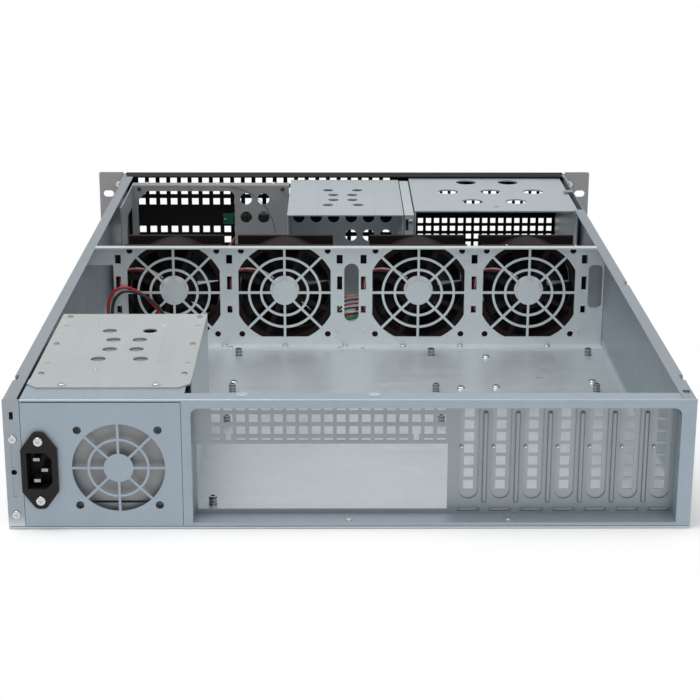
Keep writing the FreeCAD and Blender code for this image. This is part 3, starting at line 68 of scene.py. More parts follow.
class Channel:
    """A socket of a node tree, with arithmetic that adds Math nodes."""

    def __init__(self, tree: bpy.types.NodeTree, socket: bpy.types.NodeSocket) -> None:
        """Wrap a socket.

        Args:
            tree: The node tree that the socket belongs to.
            socket: The output socket that holds the value.
        """
        self.tree = tree
        self.socket = socket

    def _math(self, operation: str, *values: "Union[Channel, float]") -> "Channel":
        """Add one Math node.

        Args:
            operation: The node's operation.
            values: Its inputs in order, as channels or numbers.

        Returns:
            The node's result.
        """
        node = self.tree.nodes.new("ShaderNodeMath")
        node.operation = operation
        for socket, value in zip(node.inputs, values):
            if isinstance(value, Channel):
                self.tree.links.new(value.socket, socket)
            else:
                socket.default_value = value
        return Channel(self.tree, node.outputs[0])

    def __add__(self, other: "Union[Channel, float]") -> "Channel":
        """Sum of two values."""
        return self._math("ADD", self, other)

    def __sub__(self, other: "Union[Channel, float]") -> "Channel":
        """Difference of two values."""
        return self._math("SUBTRACT", self, other)

    def __mul__(self, other: "Union[Channel, float]") -> "Channel":
        """Product of two values."""
        return self._math("MULTIPLY", self, other)

    def __rsub__(self, other: float) -> "Channel":
        """Number minus this value."""
        return self._math("SUBTRACT", other, self)

    __radd__ = __add__
    __rmul__ = __mul__

    def size(self) -> "Channel":
        """This value without its sign."""
        return self._math("ABSOLUTE", self)

    def most(self, other: "Channel") -> "Channel":
        """The larger of two values."""
        return self._math("MAXIMUM", self, other)

    def fold(self, reach: float) -> "Channel":
        """This value folded to and fro between 0 and a reach."""
        return self._math("PINGPONG", self, reach)

    def clamp(self) -> "Channel":
        """This value held between 0 and 1."""
        return self._math("MINIMUM", self._math("MAXIMUM", self, 0.0), 1.0)

    def over(self, edge: float, width: float) -> "Channel":
        """A ramp from 0 at the edge to 1 past its width."""
        return ((self - edge) * (1.0 / width)).clamp()


class Finish:
    """A material in the making: a Principled surface and the nodes that feed it."""

    def __init__(self, name: str) -> None:
        """Start an empty material.

        Args:
            name: Name of the material.
        """
        self.material = bpy.data.materials.new(name)
        self.material.use_nodes = True
        self.tree = self.material.node_tree
        self.tree.nodes.clear()
        self.surface = self.tree.nodes.new("ShaderNodeBsdfPrincipled")
        output = self.tree.nodes.new("ShaderNodeOutputMaterial")
        self.tree.links.new(self.surface.outputs["BSDF"], output.inputs["Surface"])
        coordinates = self.tree.nodes.new("ShaderNodeTexCoord")
        self.place = Channel(self.tree, coordinates.outputs["Object"])

    def node(self, kind: str, settings: Optional[dict] = None,
             values: Optional[dict] = None, result: Union[int, str] = 0) -> Channel:
        """Add any node.

        Args:
            kind: The node's type.
            settings: Properties, set before the sockets.
            values: Socket name or number to a channel or a constant.
            result: Output that is handed back.

        Returns:
            The chosen output.
        """
        node = self.tree.nodes.new(kind)
        for key, value in (settings or {}).items():
            setattr(node, key, value)
        for key, value in (values or {}).items():
            self.feed(node.inputs[key], value)
        return Channel(self.tree, node.outputs[result])

    def feed(self, socket: bpy.types.NodeSocket, value: Union[Channel, float, Sequence[float]]) -> None:
        """Link a channel to a socket, or set the socket's constant.

        Args:
            socket: The socket that is fed.
            value: A channel, a number or a colour.
        """
        if isinstance(value, Channel):
            self.tree.links.new(value.socket, socket)
        else:
            socket.default_value = value

    def stretched(self, scale: Point) -> Channel:
        """The object's coordinates, scaled along each axis.

        Args:
            scale: Factor for X, Y and Z.

        Returns:
            The scaled coordinates.
        """
        return self.node("ShaderNodeMapping", {}, {"Vector": self.place, "Scale": scale})

    def noise(self, scale: float, detail: float = 2.0, vector: Optional[Channel] = None) -> Channel:
        """Noise over the surface, about 0.5 on average.

        Args:
            scale: Features to the metre.
            detail: Octaves.
            vector: Coordinates, or the object's own.

        Returns:
            The noise.
        """
        return self.node("ShaderNodeTexNoise", {},
                         {"Vector": vector or self.place, "Scale": scale, "Detail": detail}, "Fac")

    def cells(self, scale: float, vector: Optional[Channel] = None) -> Channel:
        """A random value for each crystal-like cell.

        Args:
            scale: Cells to the metre.
            vector: Coordinates, or the object's own.

        Returns:
            One value from 0 to 1 for each cell.
        """
        colour = self.node("ShaderNodeTexVoronoi", {}, {"Vector": vector or self.place, "Scale": scale}, "Color")
        return self.node("ShaderNodeSeparateColor", {}, {"Color": colour}, "Red")

    def blend(self, factor: Channel, first: Colour, second: Colour) -> Channel:
        """Mix of two colours.

        Args:
            factor: 0 for the first and 1 for the second.
            first: Colour at 0.
            second: Colour at 1.

        Returns:
            The mixed colour.
        """
        return self.mixed(factor, (*first, 1.0), (*second, 1.0))

    def mixed(self, factor: Channel, first: Union[Channel, Sequence[float]],
              second: Union[Channel, Sequence[float]]) -> Channel:
        """Mix of two colours, each a channel or four numbers.

        Args:
            factor: 0 for the first and 1 for the second.
            first: Colour at 0.
            second: Colour at 1.

        Returns:
            The mixed colour.
        """
        node = self.tree.nodes.new("ShaderNodeMix")
        node.data_type = "RGBA"
        for index, value in ((0, factor), (6, first), (7, second)):
            self.feed(node.inputs[index], value)
        return Channel(self.tree, node.outputs[2])

    def bump(self, height: Channel, distance: float, strength: float = 1.0) -> Channel:
        """Normal of a rough surface.

        Args:
            height: Height from 0 to 1.
            distance: Depth of the relief in metres.
            strength: Share of the relief.

        Returns:
            The bumped normal.
        """
        return self.node("ShaderNodeBump", {}, {"Height": height, "Distance": distance, "Strength": strength},
                         "Normal")

    def set(self, **values: Union[Channel, float, Sequence[float]]) -> bpy.types.Material:
        """Feed the surface's sockets.

        Args:
            values: Socket name with underscores for spaces, and its value.

        Returns:
            The finished material.
        """
        for key, value in values.items():
            self.feed(self.surface.inputs[key.replace("_", " ")], value)
        return self.material


# ---------------------------------------------------------------- finishes

@dataclass(frozen=True)
class ZincSheet:
    """Zinc-coated steel sheet: pale blue-grey, with faint spangle, rolling streaks and handling marks."""

    name: str
    dark: Colour = (0.500, 0.550, 0.580)
    light: Colour = (0.640, 0.700, 0.730)
    roughness: float = 0.34
    metallic: float = 0.62
    streaks: Point = (6.0, 90.0, 6.0)

    def colour(self, finish: Finish, tone: Channel) -> Channel:
        """The sheet's colour.

        Args:
            finish: The material in the making.
            tone: 0 where the sheet is darkest and 1 where it is lightest.

        Returns:
            The colour.
        """
        return finish.blend(tone, self.dark, self.light)

    def build(self) -> bpy.types.Material:
        """Make the material."""
        finish = Finish(self.name)
        cloud = finish.noise(7.0, 3.0)
        spangle = finish.cells(260.0)
        streak = finish.noise(1.0, 2.0, finish.stretched(self.streaks))
        grain = finish.noise(1400.0, 2.0)
        smudge = finish.noise(34.0, 4.0).over(0.56, 0.16)
        tone = (cloud * 0.7 + spangle * 0.16 + streak * 0.34 - 0.12 + smudge * -0.10).clamp()
        return finish.set(
            Base_Color=self.colour(finish, tone),
            Metallic=self.metallic,
            Roughness=self.roughness + (cloud - 0.5) * 0.10 + spangle * 0.05 + streak * 0.05 + smudge * 0.08,
            Normal=finish.bump(grain * 0.7 + streak * 0.3, 0.00003, 0.5))


@dataclass(frozen=True)
class TraySheet(ZincSheet):
    """Zinc-coated sheet of the tray: bright on the floor, with painted shade making the walls darker and bluer."""

    shaded_wall_dark: Colour = (0.290, 0.332, 0.368)
    shaded_wall_light: Colour = (0.375, 0.425, 0.465)
    fold: float = 0.003
    fold_width: float = 0.006

    def colour(self, finish: Finish, tone: Channel) -> Channel:
        """The floor's colour, and above the fold the walls' darker colour of painted shade.

        Args:
            finish: The material in the making.
            tone: 0 where the floor is darkest and 1 where it is lightest.

        Returns:
            The colour.
        """
        height = finish.node("ShaderNodeSeparateXYZ", {}, {"Vector": finish.place}, "Z")
        # Painted shade: above the fold the walls take a darker, bluer blend than the floor.
        wall = finish.blend(finish.noise(7.0, 3.0), self.shaded_wall_dark, self.shaded_wall_light)
        return finish.mixed(height.over(self.fold, self.fold_width), super().colour(finish, tone), wall)


@dataclass(frozen=True)
class PaintedSheet:
    """Steel sheet under powder paint, with a fine orange-peel skin."""

    name: str
    dark: Colour
    light: Colour
    roughness: float = 0.42
    metallic: float = 0.0
    gloss: float = 0.5

    def build(self) -> bpy.types.Material:
        """Make the material."""
        finish = Finish(self.name)
        cloud = finish.noise(16.0, 3.0)
        peel = finish.noise(900.0, 2.0)
        return finish.set(
            Base_Color=finish.blend(cloud, self.dark, self.light),
            Metallic=self.metallic,
            Specular_IOR_Level=self.gloss,
            Roughness=self.roughness + (cloud - 0.5) * 0.14,
            Normal=finish.bump(peel, 0.00008, 0.5))


@dataclass(frozen=True)
class MouldedPlastic:
    """Injection-moulded plastic with a fine spark-eroded grain."""

    name: str
    dark: Colour
    light: Colour
    roughness: float = 0.40
    gloss: float = 0.5
    grain: float = 1600.0

    def build(self) -> bpy.types.Material:
        """Make the material."""
        finish = Finish(self.name)
        cloud = finish.noise(45.0, 3.0)
        grain = finish.noise(self.grain, 2.0)
        return finish.set(
            Base_Color=finish.blend(cloud, self.dark, self.light),
            Specular_IOR_Level=self.gloss,
            Roughness=self.roughness + (cloud - 0.5) * 0.16 + grain * 0.05,
            Normal=finish.bump(grain, 0.00004, 0.5))


@dataclass(frozen=True)
class BrightMetal:
    """Small bright-plated metal, such as screws and contacts."""

    name: str
    dark: Colour = (0.50, 0.51, 0.52)
    light: Colour = (0.78, 0.79, 0.80)
    roughness: float = 0.22

    def build(self) -> bpy.types.Material:
        """Make the material."""
        finish = Finish(self.name)
        cloud = finish.noise(420.0, 3.0)
        return finish.set(
            Base_Color=finish.blend(cloud, self.dark, self.light),
            Metallic=1.0,
            Roughness=self.roughness + cloud * 0.12,
            Normal=finish.bump(finish.noise(3000.0), 0.00003, 0.5))


@dataclass(frozen=True)
class ThreadedMetal:
    """Bright metal with dark bands of painted shade up its height, standing in for the shade in the grooves of a
    threaded post.
    """

    name: str
    groove_shade: Colour = (0.10, 0.10, 0.105)
    crest: Colour = (0.62, 0.63, 0.64)
    half_pitch: float = 0.00045
    metallic: float = 0.8
    roughness: float = 0.30

    def build(self) -> bpy.types.Material:
        """Make the material."""
        finish = Finish(self.name)
        height = finish.node("ShaderNodeSeparateXYZ", {}, {"Vector": finish.place}, "Z")
        # Painted shade: bands up the height darkened as if in the grooves of a thread.
        crest = height.fold(self.half_pitch).over(0.3 * self.half_pitch, 0.4 * self.half_pitch)
        return finish.set(
            Base_Color=finish.blend(crest, self.groove_shade, self.crest),
            Metallic=self.metallic,
            Roughness=self.roughness)


@dataclass(frozen=True)
class WireSleeve:
    """Soft plastic insulation of a wire."""

    name: str
    colour: Colour
    roughness: float = 0.38

    def build(self) -> bpy.types.Material:
        """Make the material."""
        finish = Finish(self.name)
        cloud = finish.noise(160.0, 3.0)
        dim = tuple(0.72 * value for value in self.colour)
        return finish.set(
            Base_Color=finish.blend(cloud, dim, self.colour),
            Roughness=self.roughness + (cloud - 0.5) * 0.2,
            Normal=finish.bump(cloud, 0.00006, 0.4))


class Palette(Enum):
    """Every finish of the case, made once and handed out by name."""

    ZINC = ZincSheet("zinc_sheet")
    ZINC_TRAY = TraySheet("zinc_tray")
    ZINC_COVER = ZincSheet("zinc_cover", (0.410, 0.440, 0.442), (0.515, 0.545, 0.545), 0.40, 0.45, (90.0, 6.0, 6.0))
    ZINC_CAGE = ZincSheet("zinc_cage", (0.420, 0.470, 0.500), (0.520, 0.580, 0.620), 0.36, 0.50, (90.0, 6.0, 6.0))
    # Painted shade: darker, bluer copy of the zinc for the rear frame and the rear plate of the power supply.
    ZINC_FACE_SHADED = ZincSheet("zinc_face_painted_shade", (0.310, 0.372, 0.430), (0.395, 0.466, 0.535), 0.42, 0.55, (90.0, 6.0, 6.0))
    # Painted shade: darkened copy of the zinc for the recessed slot panel and the lining of the power supply bay.
    ZINC_RECESS_SHADED = ZincSheet("zinc_recess_painted_shade", (0.255, 0.290, 0.305), (0.335, 0.375, 0.392), 0.32, 0.62, (6.0, 6.0, 90.0))
    # Painted shade: slightly darkened copy of the zinc for the slot covers in the recess.
    ZINC_SLOT_SHADED = ZincSheet("zinc_slot_painted_shade", (0.300, 0.335, 0.350), (0.385, 0.425, 0.440), 0.32, 0.60, (90.0, 6.0, 6.0))
    # Painted light: brightened copy of the zinc for the fan wall, standing in for the bright floor that it reflects.
    ZINC_WALL_LIT = ZincSheet("zinc_wall_painted_reflection", (0.620, 0.670, 0.685), (0.760, 0.815, 0.830), 0.36, 0.55, (6.0, 6.0, 90.0))
    # Painted shade: darkened copy of the zinc for the front bulkhead and the back of the power supply bay.
    ZINC_SHADED = ZincSheet("zinc_painted_shade", (0.270, 0.275, 0.285), (0.350, 0.355, 0.365), 0.42, 0.45, (90.0, 6.0, 6.0))
    POST_THREAD = ThreadedMetal("post_thread")
    POST_STEEL = BrightMetal("post_steel", (0.20, 0.20, 0.205), (0.46, 0.46, 0.465), 0.30)
    CONTACT = BrightMetal("contact_plating", (0.30, 0.27, 0.25), (0.52, 0.48, 0.45), 0.30)
    # Dark metal for the bulkhead's rivets, and the colour of the painted shade lines in the slits, the seam and along
    # the bulkhead's arc.
    DARK_STEEL_AND_SHADE = BrightMetal("dark_steel_and_painted_shade", (0.08, 0.08, 0.085), (0.20, 0.20, 0.205), 0.34)
    PANEL = PaintedSheet("front_panel_paint", (0.008, 0.008, 0.009), (0.013, 0.012, 0.013), 0.55, 0.0, 0.10)
    EAR = PaintedSheet("ear_paint", (0.270, 0.273, 0.282), (0.320, 0.324, 0.334), 0.42, 0.30)
    HANDLE = PaintedSheet("handle_paint", (0.020, 0.020, 0.022), (0.032, 0.032, 0.034), 0.38)
    FRAME = MouldedPlastic("fan_frame_plastic", (0.012, 0.008, 0.008), (0.021, 0.014, 0.014), 0.50, 0.06)
    BLADE = MouldedPlastic("fan_blade_plastic", (0.012, 0.012, 0.013), (0.022, 0.022, 0.023), 0.45, 0.15)
    INLET = MouldedPlastic("inlet_plastic", (0.008, 0.007, 0.008), (0.014, 0.012, 0.013), 0.42, 0.25)
    BOARD = MouldedPlastic("board_laminate", (0.006, 0.075, 0.040), (0.010, 0.110, 0.060), 0.34)
    SWITCH = MouldedPlastic("switch_plastic", (0.012, 0.012, 0.013), (0.020, 0.020, 0.021), 0.40)
    BUTTON = MouldedPlastic("button_plastic", (0.035, 0.035, 0.038), (0.050, 0.050, 0.054), 0.32)
    GREEN_LIGHT = MouldedPlastic("green_light", (0.06, 0.36, 0.09), (0.09, 0.45, 0.12), 0.16)
    RED_LIGHT = MouldedPlastic("red_light", (0.40, 0.03, 0.02), (0.50, 0.05, 0.03), 0.16)
    NYLON = MouldedPlastic("plug_nylon", (0.66, 0.64, 0.58), (0.78, 0.76, 0.71), 0.38)
    FOIL = MouldedPlastic("motor_label", (0.60, 0.63, 0.66), (0.76, 0.79, 0.82), 0.30)
    SCREW = BrightMetal("screw_plating")
    SHELL = BrightMetal("socket_shell", (0.42, 0.42, 0.43), (0.60, 0.60, 0.61), 0.30)
    RED_WIRE = WireSleeve("red_wire", (0.46, 0.016, 0.020))
    BLACK_WIRE = WireSleeve("black_wire", (0.014, 0.013, 0.014))
    PALE_WIRE = WireSleeve("pale_wire", (0.72, 0.62, 0.60))
    ORANGE_WIRE = WireSleeve("orange_wire", (0.62, 0.17, 0.05))
    BROWN_WIRE = WireSleeve("brown_wire", (0.14, 0.035, 0.025))
    GREEN_WIRE = WireSleeve("green_wire", (0.05, 0.28, 0.12))

    def material(self) -> bpy.types.Material:
        """The material of this finish, made on first use."""
        return bpy.data.materials.get(self.value.name) or self.value.build()


# The fan wall's finish is brightened as painted light. The tray walls, rear face, slot panel, slot covers and front
# bulkhead take finishes darkened as painted shade.
NODE_FINISH: dict[str, Palette] = {
    "psu_cover": Palette.ZINC_COVER, "drive_cage_cover": Palette.ZINC_CAGE, "bay_cage": Palette.ZINC_CAGE,
    "rear_frame": Palette.ZINC_FACE_SHADED, "psu_rear_plate": Palette.ZINC_FACE_SHADED, "io_slot_panel": Palette.ZINC_RECESS_SHADED,
    "fan_wall": Palette.ZINC_WALL_LIT, "chassis_tray": Palette.ZINC_TRAY, "front_bulkhead": Palette.ZINC_SHADED,
    "front_panel": Palette.PANEL, "ear_left": Palette.EAR, "ear_right": Palette.EAR,
    "handle_left": Palette.HANDLE, "handle_right": Palette.HANDLE,
    "handle_screws": Palette.SCREW, "inlet_screws": Palette.SCREW, "board_posts": Palette.SCREW,
    "standoffs": Palette.SCREW, "inlet_pins": Palette.CONTACT, "inlet_housing": Palette.INLET,
    "front_board": Palette.BOARD, "power_switch": Palette.SWITCH, "reset_switch": Palette.SWITCH,
    "power_button": Palette.BUTTON, "reset_button": Palette.BUTTON,
    "power_light": Palette.GREEN_LIGHT, "drive_light": Palette.RED_LIGHT, "usb_socket": Palette.SHELL,
    "power_plug": Palette.NYLON, "leads_plug": Palette.NYLON,
    "power_lead_red": Palette.RED_WIRE, "power_lead_black": Palette.BLACK_WIRE,
    "front_leads": Palette.BROWN_WIRE,
}
PREFIX_FINISH: dict[str, Palette] = {
    "fan_frame": Palette.FRAME, "fan_rotor": Palette.BLADE, "fan_lead": Palette.BLACK_WIRE,
    "fan_plug": Palette.NYLON, "slot_cover": Palette.ZINC_SLOT_SHADED,
}


def dress_nodes() -> None:
    """Give each CAD node its finish."""
    for name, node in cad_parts.items():
        finish = NODE_FINISH.get(name) or PREFIX_FINISH.get(name.rsplit("_", 1)[0], Palette.ZINC)
        if not node.material_slots:
            node.data.materials.append(None)
        for slot in node.material_slots:
            slot.material = finish.material()
    LOG.info("dressed %d nodes", len(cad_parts))


# ---------------------------------------------------------------- bench tools

REAR_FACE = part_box("rear_frame")[0].y


def at(point: Point) -> Vector:
    """A bench point in millimetres as a place in the frame."""
    return Vector(point) * MM + Vector((0.0, REAR_FACE, 0.0))


class Facing(Enum):
    """Way that a small fitting looks, as the turn that brings its top from up to that way."""

    UP = (0.0, 0.0, 0.0)
    REAR = (math.pi / 2, 0.0, 0.0)


def activate(*objects: bpy.types.Object) -> None:
    """Select these objects alone, in object mode.

    Args:
        objects: The objects; the first becomes the active one.
    """
    if bpy.context.mode != "OBJECT":
        bpy.ops.object.mode_set(mode="OBJECT")
    bpy.ops.object.select_all(action="DESELECT")
    for item in objects:
        item.select_set(True)
    if objects:
        bpy.context.view_layer.objects.active = objects[0]


def settle(item: bpy.types.Object) -> bpy.types.Object:
    """Move an object's place, turn and scale into its mesh."""
    activate(item)
    bpy.ops.object.transform_apply(location=True, rotation=True, scale=True)
    return item


def pick_edges(test: Callable[[Vector, Vector], bool]) -> None:
    """Select edges of the mesh in edit mode.

    Args:
        test: Says for an edge's two ends whether it is picked.
    """
    bpy.ops.mesh.select_mode(type="EDGE")
    bpy.ops.mesh.select_all(action="DESELECT")
    mesh = bmesh.from_edit_mesh(bpy.context.object.data)
    for edge in mesh.edges:
        if test(edge.verts[0].co, edge.verts[1].co):
            edge.select_set(True)
    bmesh.update_edit_mesh(bpy.context.object.data)


def pick_faces(test: Callable[[Vector, Vector], bool]) -> None:
    """Select faces of the mesh in edit mode.

    Args:
        test: Says for a face's centre and normal whether it is picked.
    """
    bpy.ops.mesh.select_mode(type="FACE")
    bpy.ops.mesh.select_all(action="DESELECT")
    mesh = bmesh.from_edit_mesh(bpy.context.object.data)
    for face in mesh.faces:
        if test(face.calc_center_median(), face.normal):
            face.select_set(True)
    bmesh.update_edit_mesh(bpy.context.object.data)


def pick_rim(top: float) -> None:
    """Select the edges round the top of the mesh in edit mode.

    Args:
        top: Height of the top in metres.
    """
    pick_edges(lambda a, b: min(a.z, b.z) > NEARLY * top)


def pick_top() -> None:
    """Select the faces of the mesh in edit mode that look up."""
    pick_faces(lambda centre, normal: normal.z > NEARLY)


def sink(border: float, depth: float) -> None:
    """Inset the selected faces and push them down, in edit mode.

    Args:
        border: Width of the border that stays, in metres.
        depth: Way down in metres.
    """
    bpy.ops.mesh.inset(thickness=border)
    bpy.ops.mesh.extrude_region_move(TRANSFORM_OT_translate={"value": (0.0, 0.0, -depth)})


def new_round(name: str, radius: float, height: float, sides: int, base: float = 0.0) -> bpy.types.Object:
    """Start a round piece that stands on the origin, left in edit mode.

    Args:
        name: Its name.
        radius: Its radius in millimetres.
        height: Its height in millimetres.
        sides: Sides of the round.
        base: Height of its foot in millimetres.

    Returns:
        The object.
    """
    activate()
    bpy.ops.mesh.primitive_cylinder_add(vertices=sides, radius=radius * MM, depth=height * MM,
                                        location=(0.0, 0.0, (base + height / 2) * MM))
    item = bpy.context.object
    item.name = name
    settle(item)
    bpy.ops.object.mode_set(mode="EDIT")
    return item


def new_block(name: str, low: Point, high: Point) -> bpy.types.Object:
    """Start a block between two bench corners, left in object mode.

    Args:
        name: Its name.
        low: Lowest corner in millimetres.
        high: Highest corner in millimetres.

    Returns:
        The object.
    """
    activate()
    first, last = at(low), at(high)
    bpy.ops.mesh.primitive_cube_add(size=1.0, location=(first + last) / 2)
    item = bpy.context.object
    item.name = name
    item.scale = last - first
    return settle(item)


def smooth(item: bpy.types.Object, angle: float = 35.0) -> None:
    """Shade a mesh smooth up to an angle between its faces.

    Args:
        item: The object.
        angle: The angle in degrees.
    """
    activate(item)
    bpy.ops.object.shade_smooth_by_angle(angle=math.radians(angle))


def carve(item: bpy.types.Object, tool: bpy.types.Object) -> None:
    """Cut a tool out of an object and delete the tool.

    Args:
        item: The object that is cut.
        tool: The solid that is taken away.
    """
    activate(item)
    modifier = item.modifiers.new("carve", "BOOLEAN")
    modifier.operation = "DIFFERENCE"
    modifier.object = tool
    bpy.ops.object.modifier_apply(modifier=modifier.name)
    bpy.data.objects.remove(tool)


def finish_piece(item: bpy.types.Object, finish: Palette, body: str = CASE) -> bpy.types.Object:
    """Dress a new piece and let it ride on its body.

    Args:
        item: The piece, in place.
        finish: Its finish.
        body: Body that it rides on.

    Returns:
        The piece.
    """
    item.data.materials.clear()
    item.data.materials.append(finish.material())
    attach(item, body)
    return item


def place_copies(master: bpy.types.Object, name: str, spots: Iterable[Point], facing: Facing) -> bpy.types.Object:
    """Set copies of a fitting at bench points and join them.

    Args:
        master: The fitting, standing on the origin and looking up.
        name: Name of the joined piece.
        spots: Bench points that its foot sits on.
        facing: Way that it looks.

    Returns:
        The joined piece, with its place in its mesh.
    """
    copies = []
    for spot in spots:
        copy = master.copy()
        copy.data = master.data.copy()
        bpy.context.collection.objects.link(copy)
        copy.rotation_euler = facing.value
        copy.location = at(spot)
        copies.append(copy)
    activate(*copies)
    if len(copies) > 1:
        bpy.ops.object.join()
    joined = bpy.context.object
    joined.name = name
    return settle(joined)


# ---------------------------------------------------------------- fasteners and pressings

def cross_recess(radius: float, top: float, depth: float) -> list[bpy.types.Object]:
    """Two tapered bars that cut the cross of a screw head.

    Args:
        radius: Reach of the cross in millimetres.
        top: Height of the head in millimetres.
        depth: Depth of the cross in millimetres.

    Returns:
        The two tools.
    """
    bars = []
    for turn in (0.0, math.pi / 2):
        activate()
        bpy.ops.mesh.primitive_cube_add(size=1.0, location=(0.0, 0.0, top * MM), rotation=(0.0, 0.0, turn))
        bar = bpy.context.object
        bar.scale = (2 * radius * MM, 0.42 * radius * MM, 2 * depth * MM)
        settle(bar)
        bpy.ops.object.mode_set(mode="EDIT")
        pick_faces(lambda centre, normal: normal.z < -0.9)
        bpy.ops.transform.resize(value=(0.6, 0.6, 1.0))
        bpy.ops.object.mode_set(mode="OBJECT")
        bars.append(bar)
    return bars


def pan_screw(radius: float, height: float) -> bpy.types.Object:
    """Master of a pan-head screw with a cross recess.

    Args:
        radius: Radius of the head in millimetres.
        height: Height of the head in millimetres.

    Returns:
        The screw head, standing on the origin.
    """
    head = new_round("screw_master", radius, height, 20)
    top = height * MM
    pick_rim(top)
    bpy.ops.mesh.bevel(offset=0.5 * top, segments=3, affect="EDGES")
    bpy.ops.object.mode_set(mode="OBJECT")
    for bar in cross_recess(0.56 * radius, height, 0.5 * height):
        carve(head, bar)
    smooth(head)
    return head


def rivet(radius: float, height: float) -> bpy.types.Object:
    """Master of a pull rivet: a low dome with the hollow that its mandrel leaves.

    Args:
        radius: Radius of the dome in millimetres.
        height: Height of the dome in millimetres.

    Returns:
        The rivet, standing on the origin.
    """
    dome = new_round("rivet_master", radius, height, 16)
    top = height * MM
    pick_rim(top)
    bpy.ops.mesh.bevel(offset=0.7 * top, segments=3, affect="EDGES")
    pick_top()
    sink(0.25 * radius * MM, 0.5 * top)
    bpy.ops.object.mode_set(mode="OBJECT")
    smooth(dome)
    return dome


def pressed_boss(radius: float, height: float, bore: float) -> bpy.types.Object:
    """Master of a screw boss pulled up out of the sheet.

    Args:
        radius: Outer radius in millimetres.
        height: Height in millimetres.
        bore: Radius of its hole in millimetres.

    Returns:
        The boss, standing on the origin.
    """
    boss = new_round("boss_master", radius, height, 16)
    top = height * MM
    pick_top()
    bpy.ops.transform.resize(value=(0.8, 0.8, 1.0))
    pick_rim(top)
    bpy.ops.mesh.bevel(offset=0.25 * top, segments=2, affect="EDGES")
    pick_top()
    sink(max(0.05, 0.62 * radius - bore) * MM, 0.9 * top)
    bpy.ops.object.mode_set(mode="OBJECT")
    smooth(boss)
    return boss


def ring_mark(radius: float) -> bpy.types.Object:
    """Master of a shallow pressed ring.

    Args:
        radius: Outer radius in millimetres.

    Returns:
        The ring, standing on the origin.
    """
    ring = new_round("ring_master", radius, 0.35, 24, -0.1)
    pick_top()
    sink(0.3 * radius * MM, 0.2 * MM)
    bpy.ops.object.mode_set(mode="OBJECT")
    smooth(ring, 60.0)
    return ring


def threaded_standoff(radius: float, height: float, grooves: int) -> bpy.types.Object:
    """Master of a board standoff: a grooved steel post with a tapped hole.

    Args:
        radius: Radius over the ribs in millimetres.
        height: Height in millimetres.
        grooves: Number of grooves round it.

    Returns:
        The standoff, standing on the origin.
    """
    step = height / (2 * grooves + 1)
    post = new_round("standoff_master", radius, step, 14)
    for index in range(2 * grooves):
        level = (index + 1) * step * MM
        pick_faces(lambda centre, normal, level=level: normal.z > 0.9 and abs(centre.z - level) < 0.1 * MM)
        factor = 0.8 if index % 2 == 0 else 1.25
        bpy.ops.mesh.extrude_region_move()
        bpy.ops.transform.resize(value=(factor, factor, 1.0))
        bpy.ops.mesh.extrude_region_move(TRANSFORM_OT_translate={"value": (0.0, 0.0, step * MM)})
    pick_faces(lambda centre, normal: normal.z > 0.9 and centre.z > (height - 0.3 * step) * MM)
    sink(0.4 * radius * MM, 0.6 * height * MM)
    bpy.ops.object.mode_set(mode="OBJECT")
    smooth(post)
    return post


def ridge(name: str, points: Sequence[Point], radius: float = 0.7) -> bpy.types.Object:
    """A line that stands a little out of a sheet: a pressed line, or a dark line of painted shade.

    Args:
        name: Its name.
        points: Bench points along it; each lies a little under the face.
        radius: Radius of its round back in millimetres.

    Returns:
        The ridge as a mesh.
    """
    activate()
    curve = bpy.data.curves.new(name, "CURVE")
    curve.dimensions = "3D"
    curve.bevel_depth = radius * MM
    curve.bevel_resolution = 2
    curve.use_fill_caps = True
    spline = curve.splines.new("POLY")
    spline.points.add(len(points) - 1)
    for target, point in zip(spline.points, points):
        target.co = (*at(point), 1.0)
    item = bpy.data.objects.new(name, curve)
    bpy.context.collection.objects.link(item)
    activate(item)
    bpy.ops.object.convert(target="MESH")
    item = bpy.context.object
    smooth(item, 60.0)
    return item


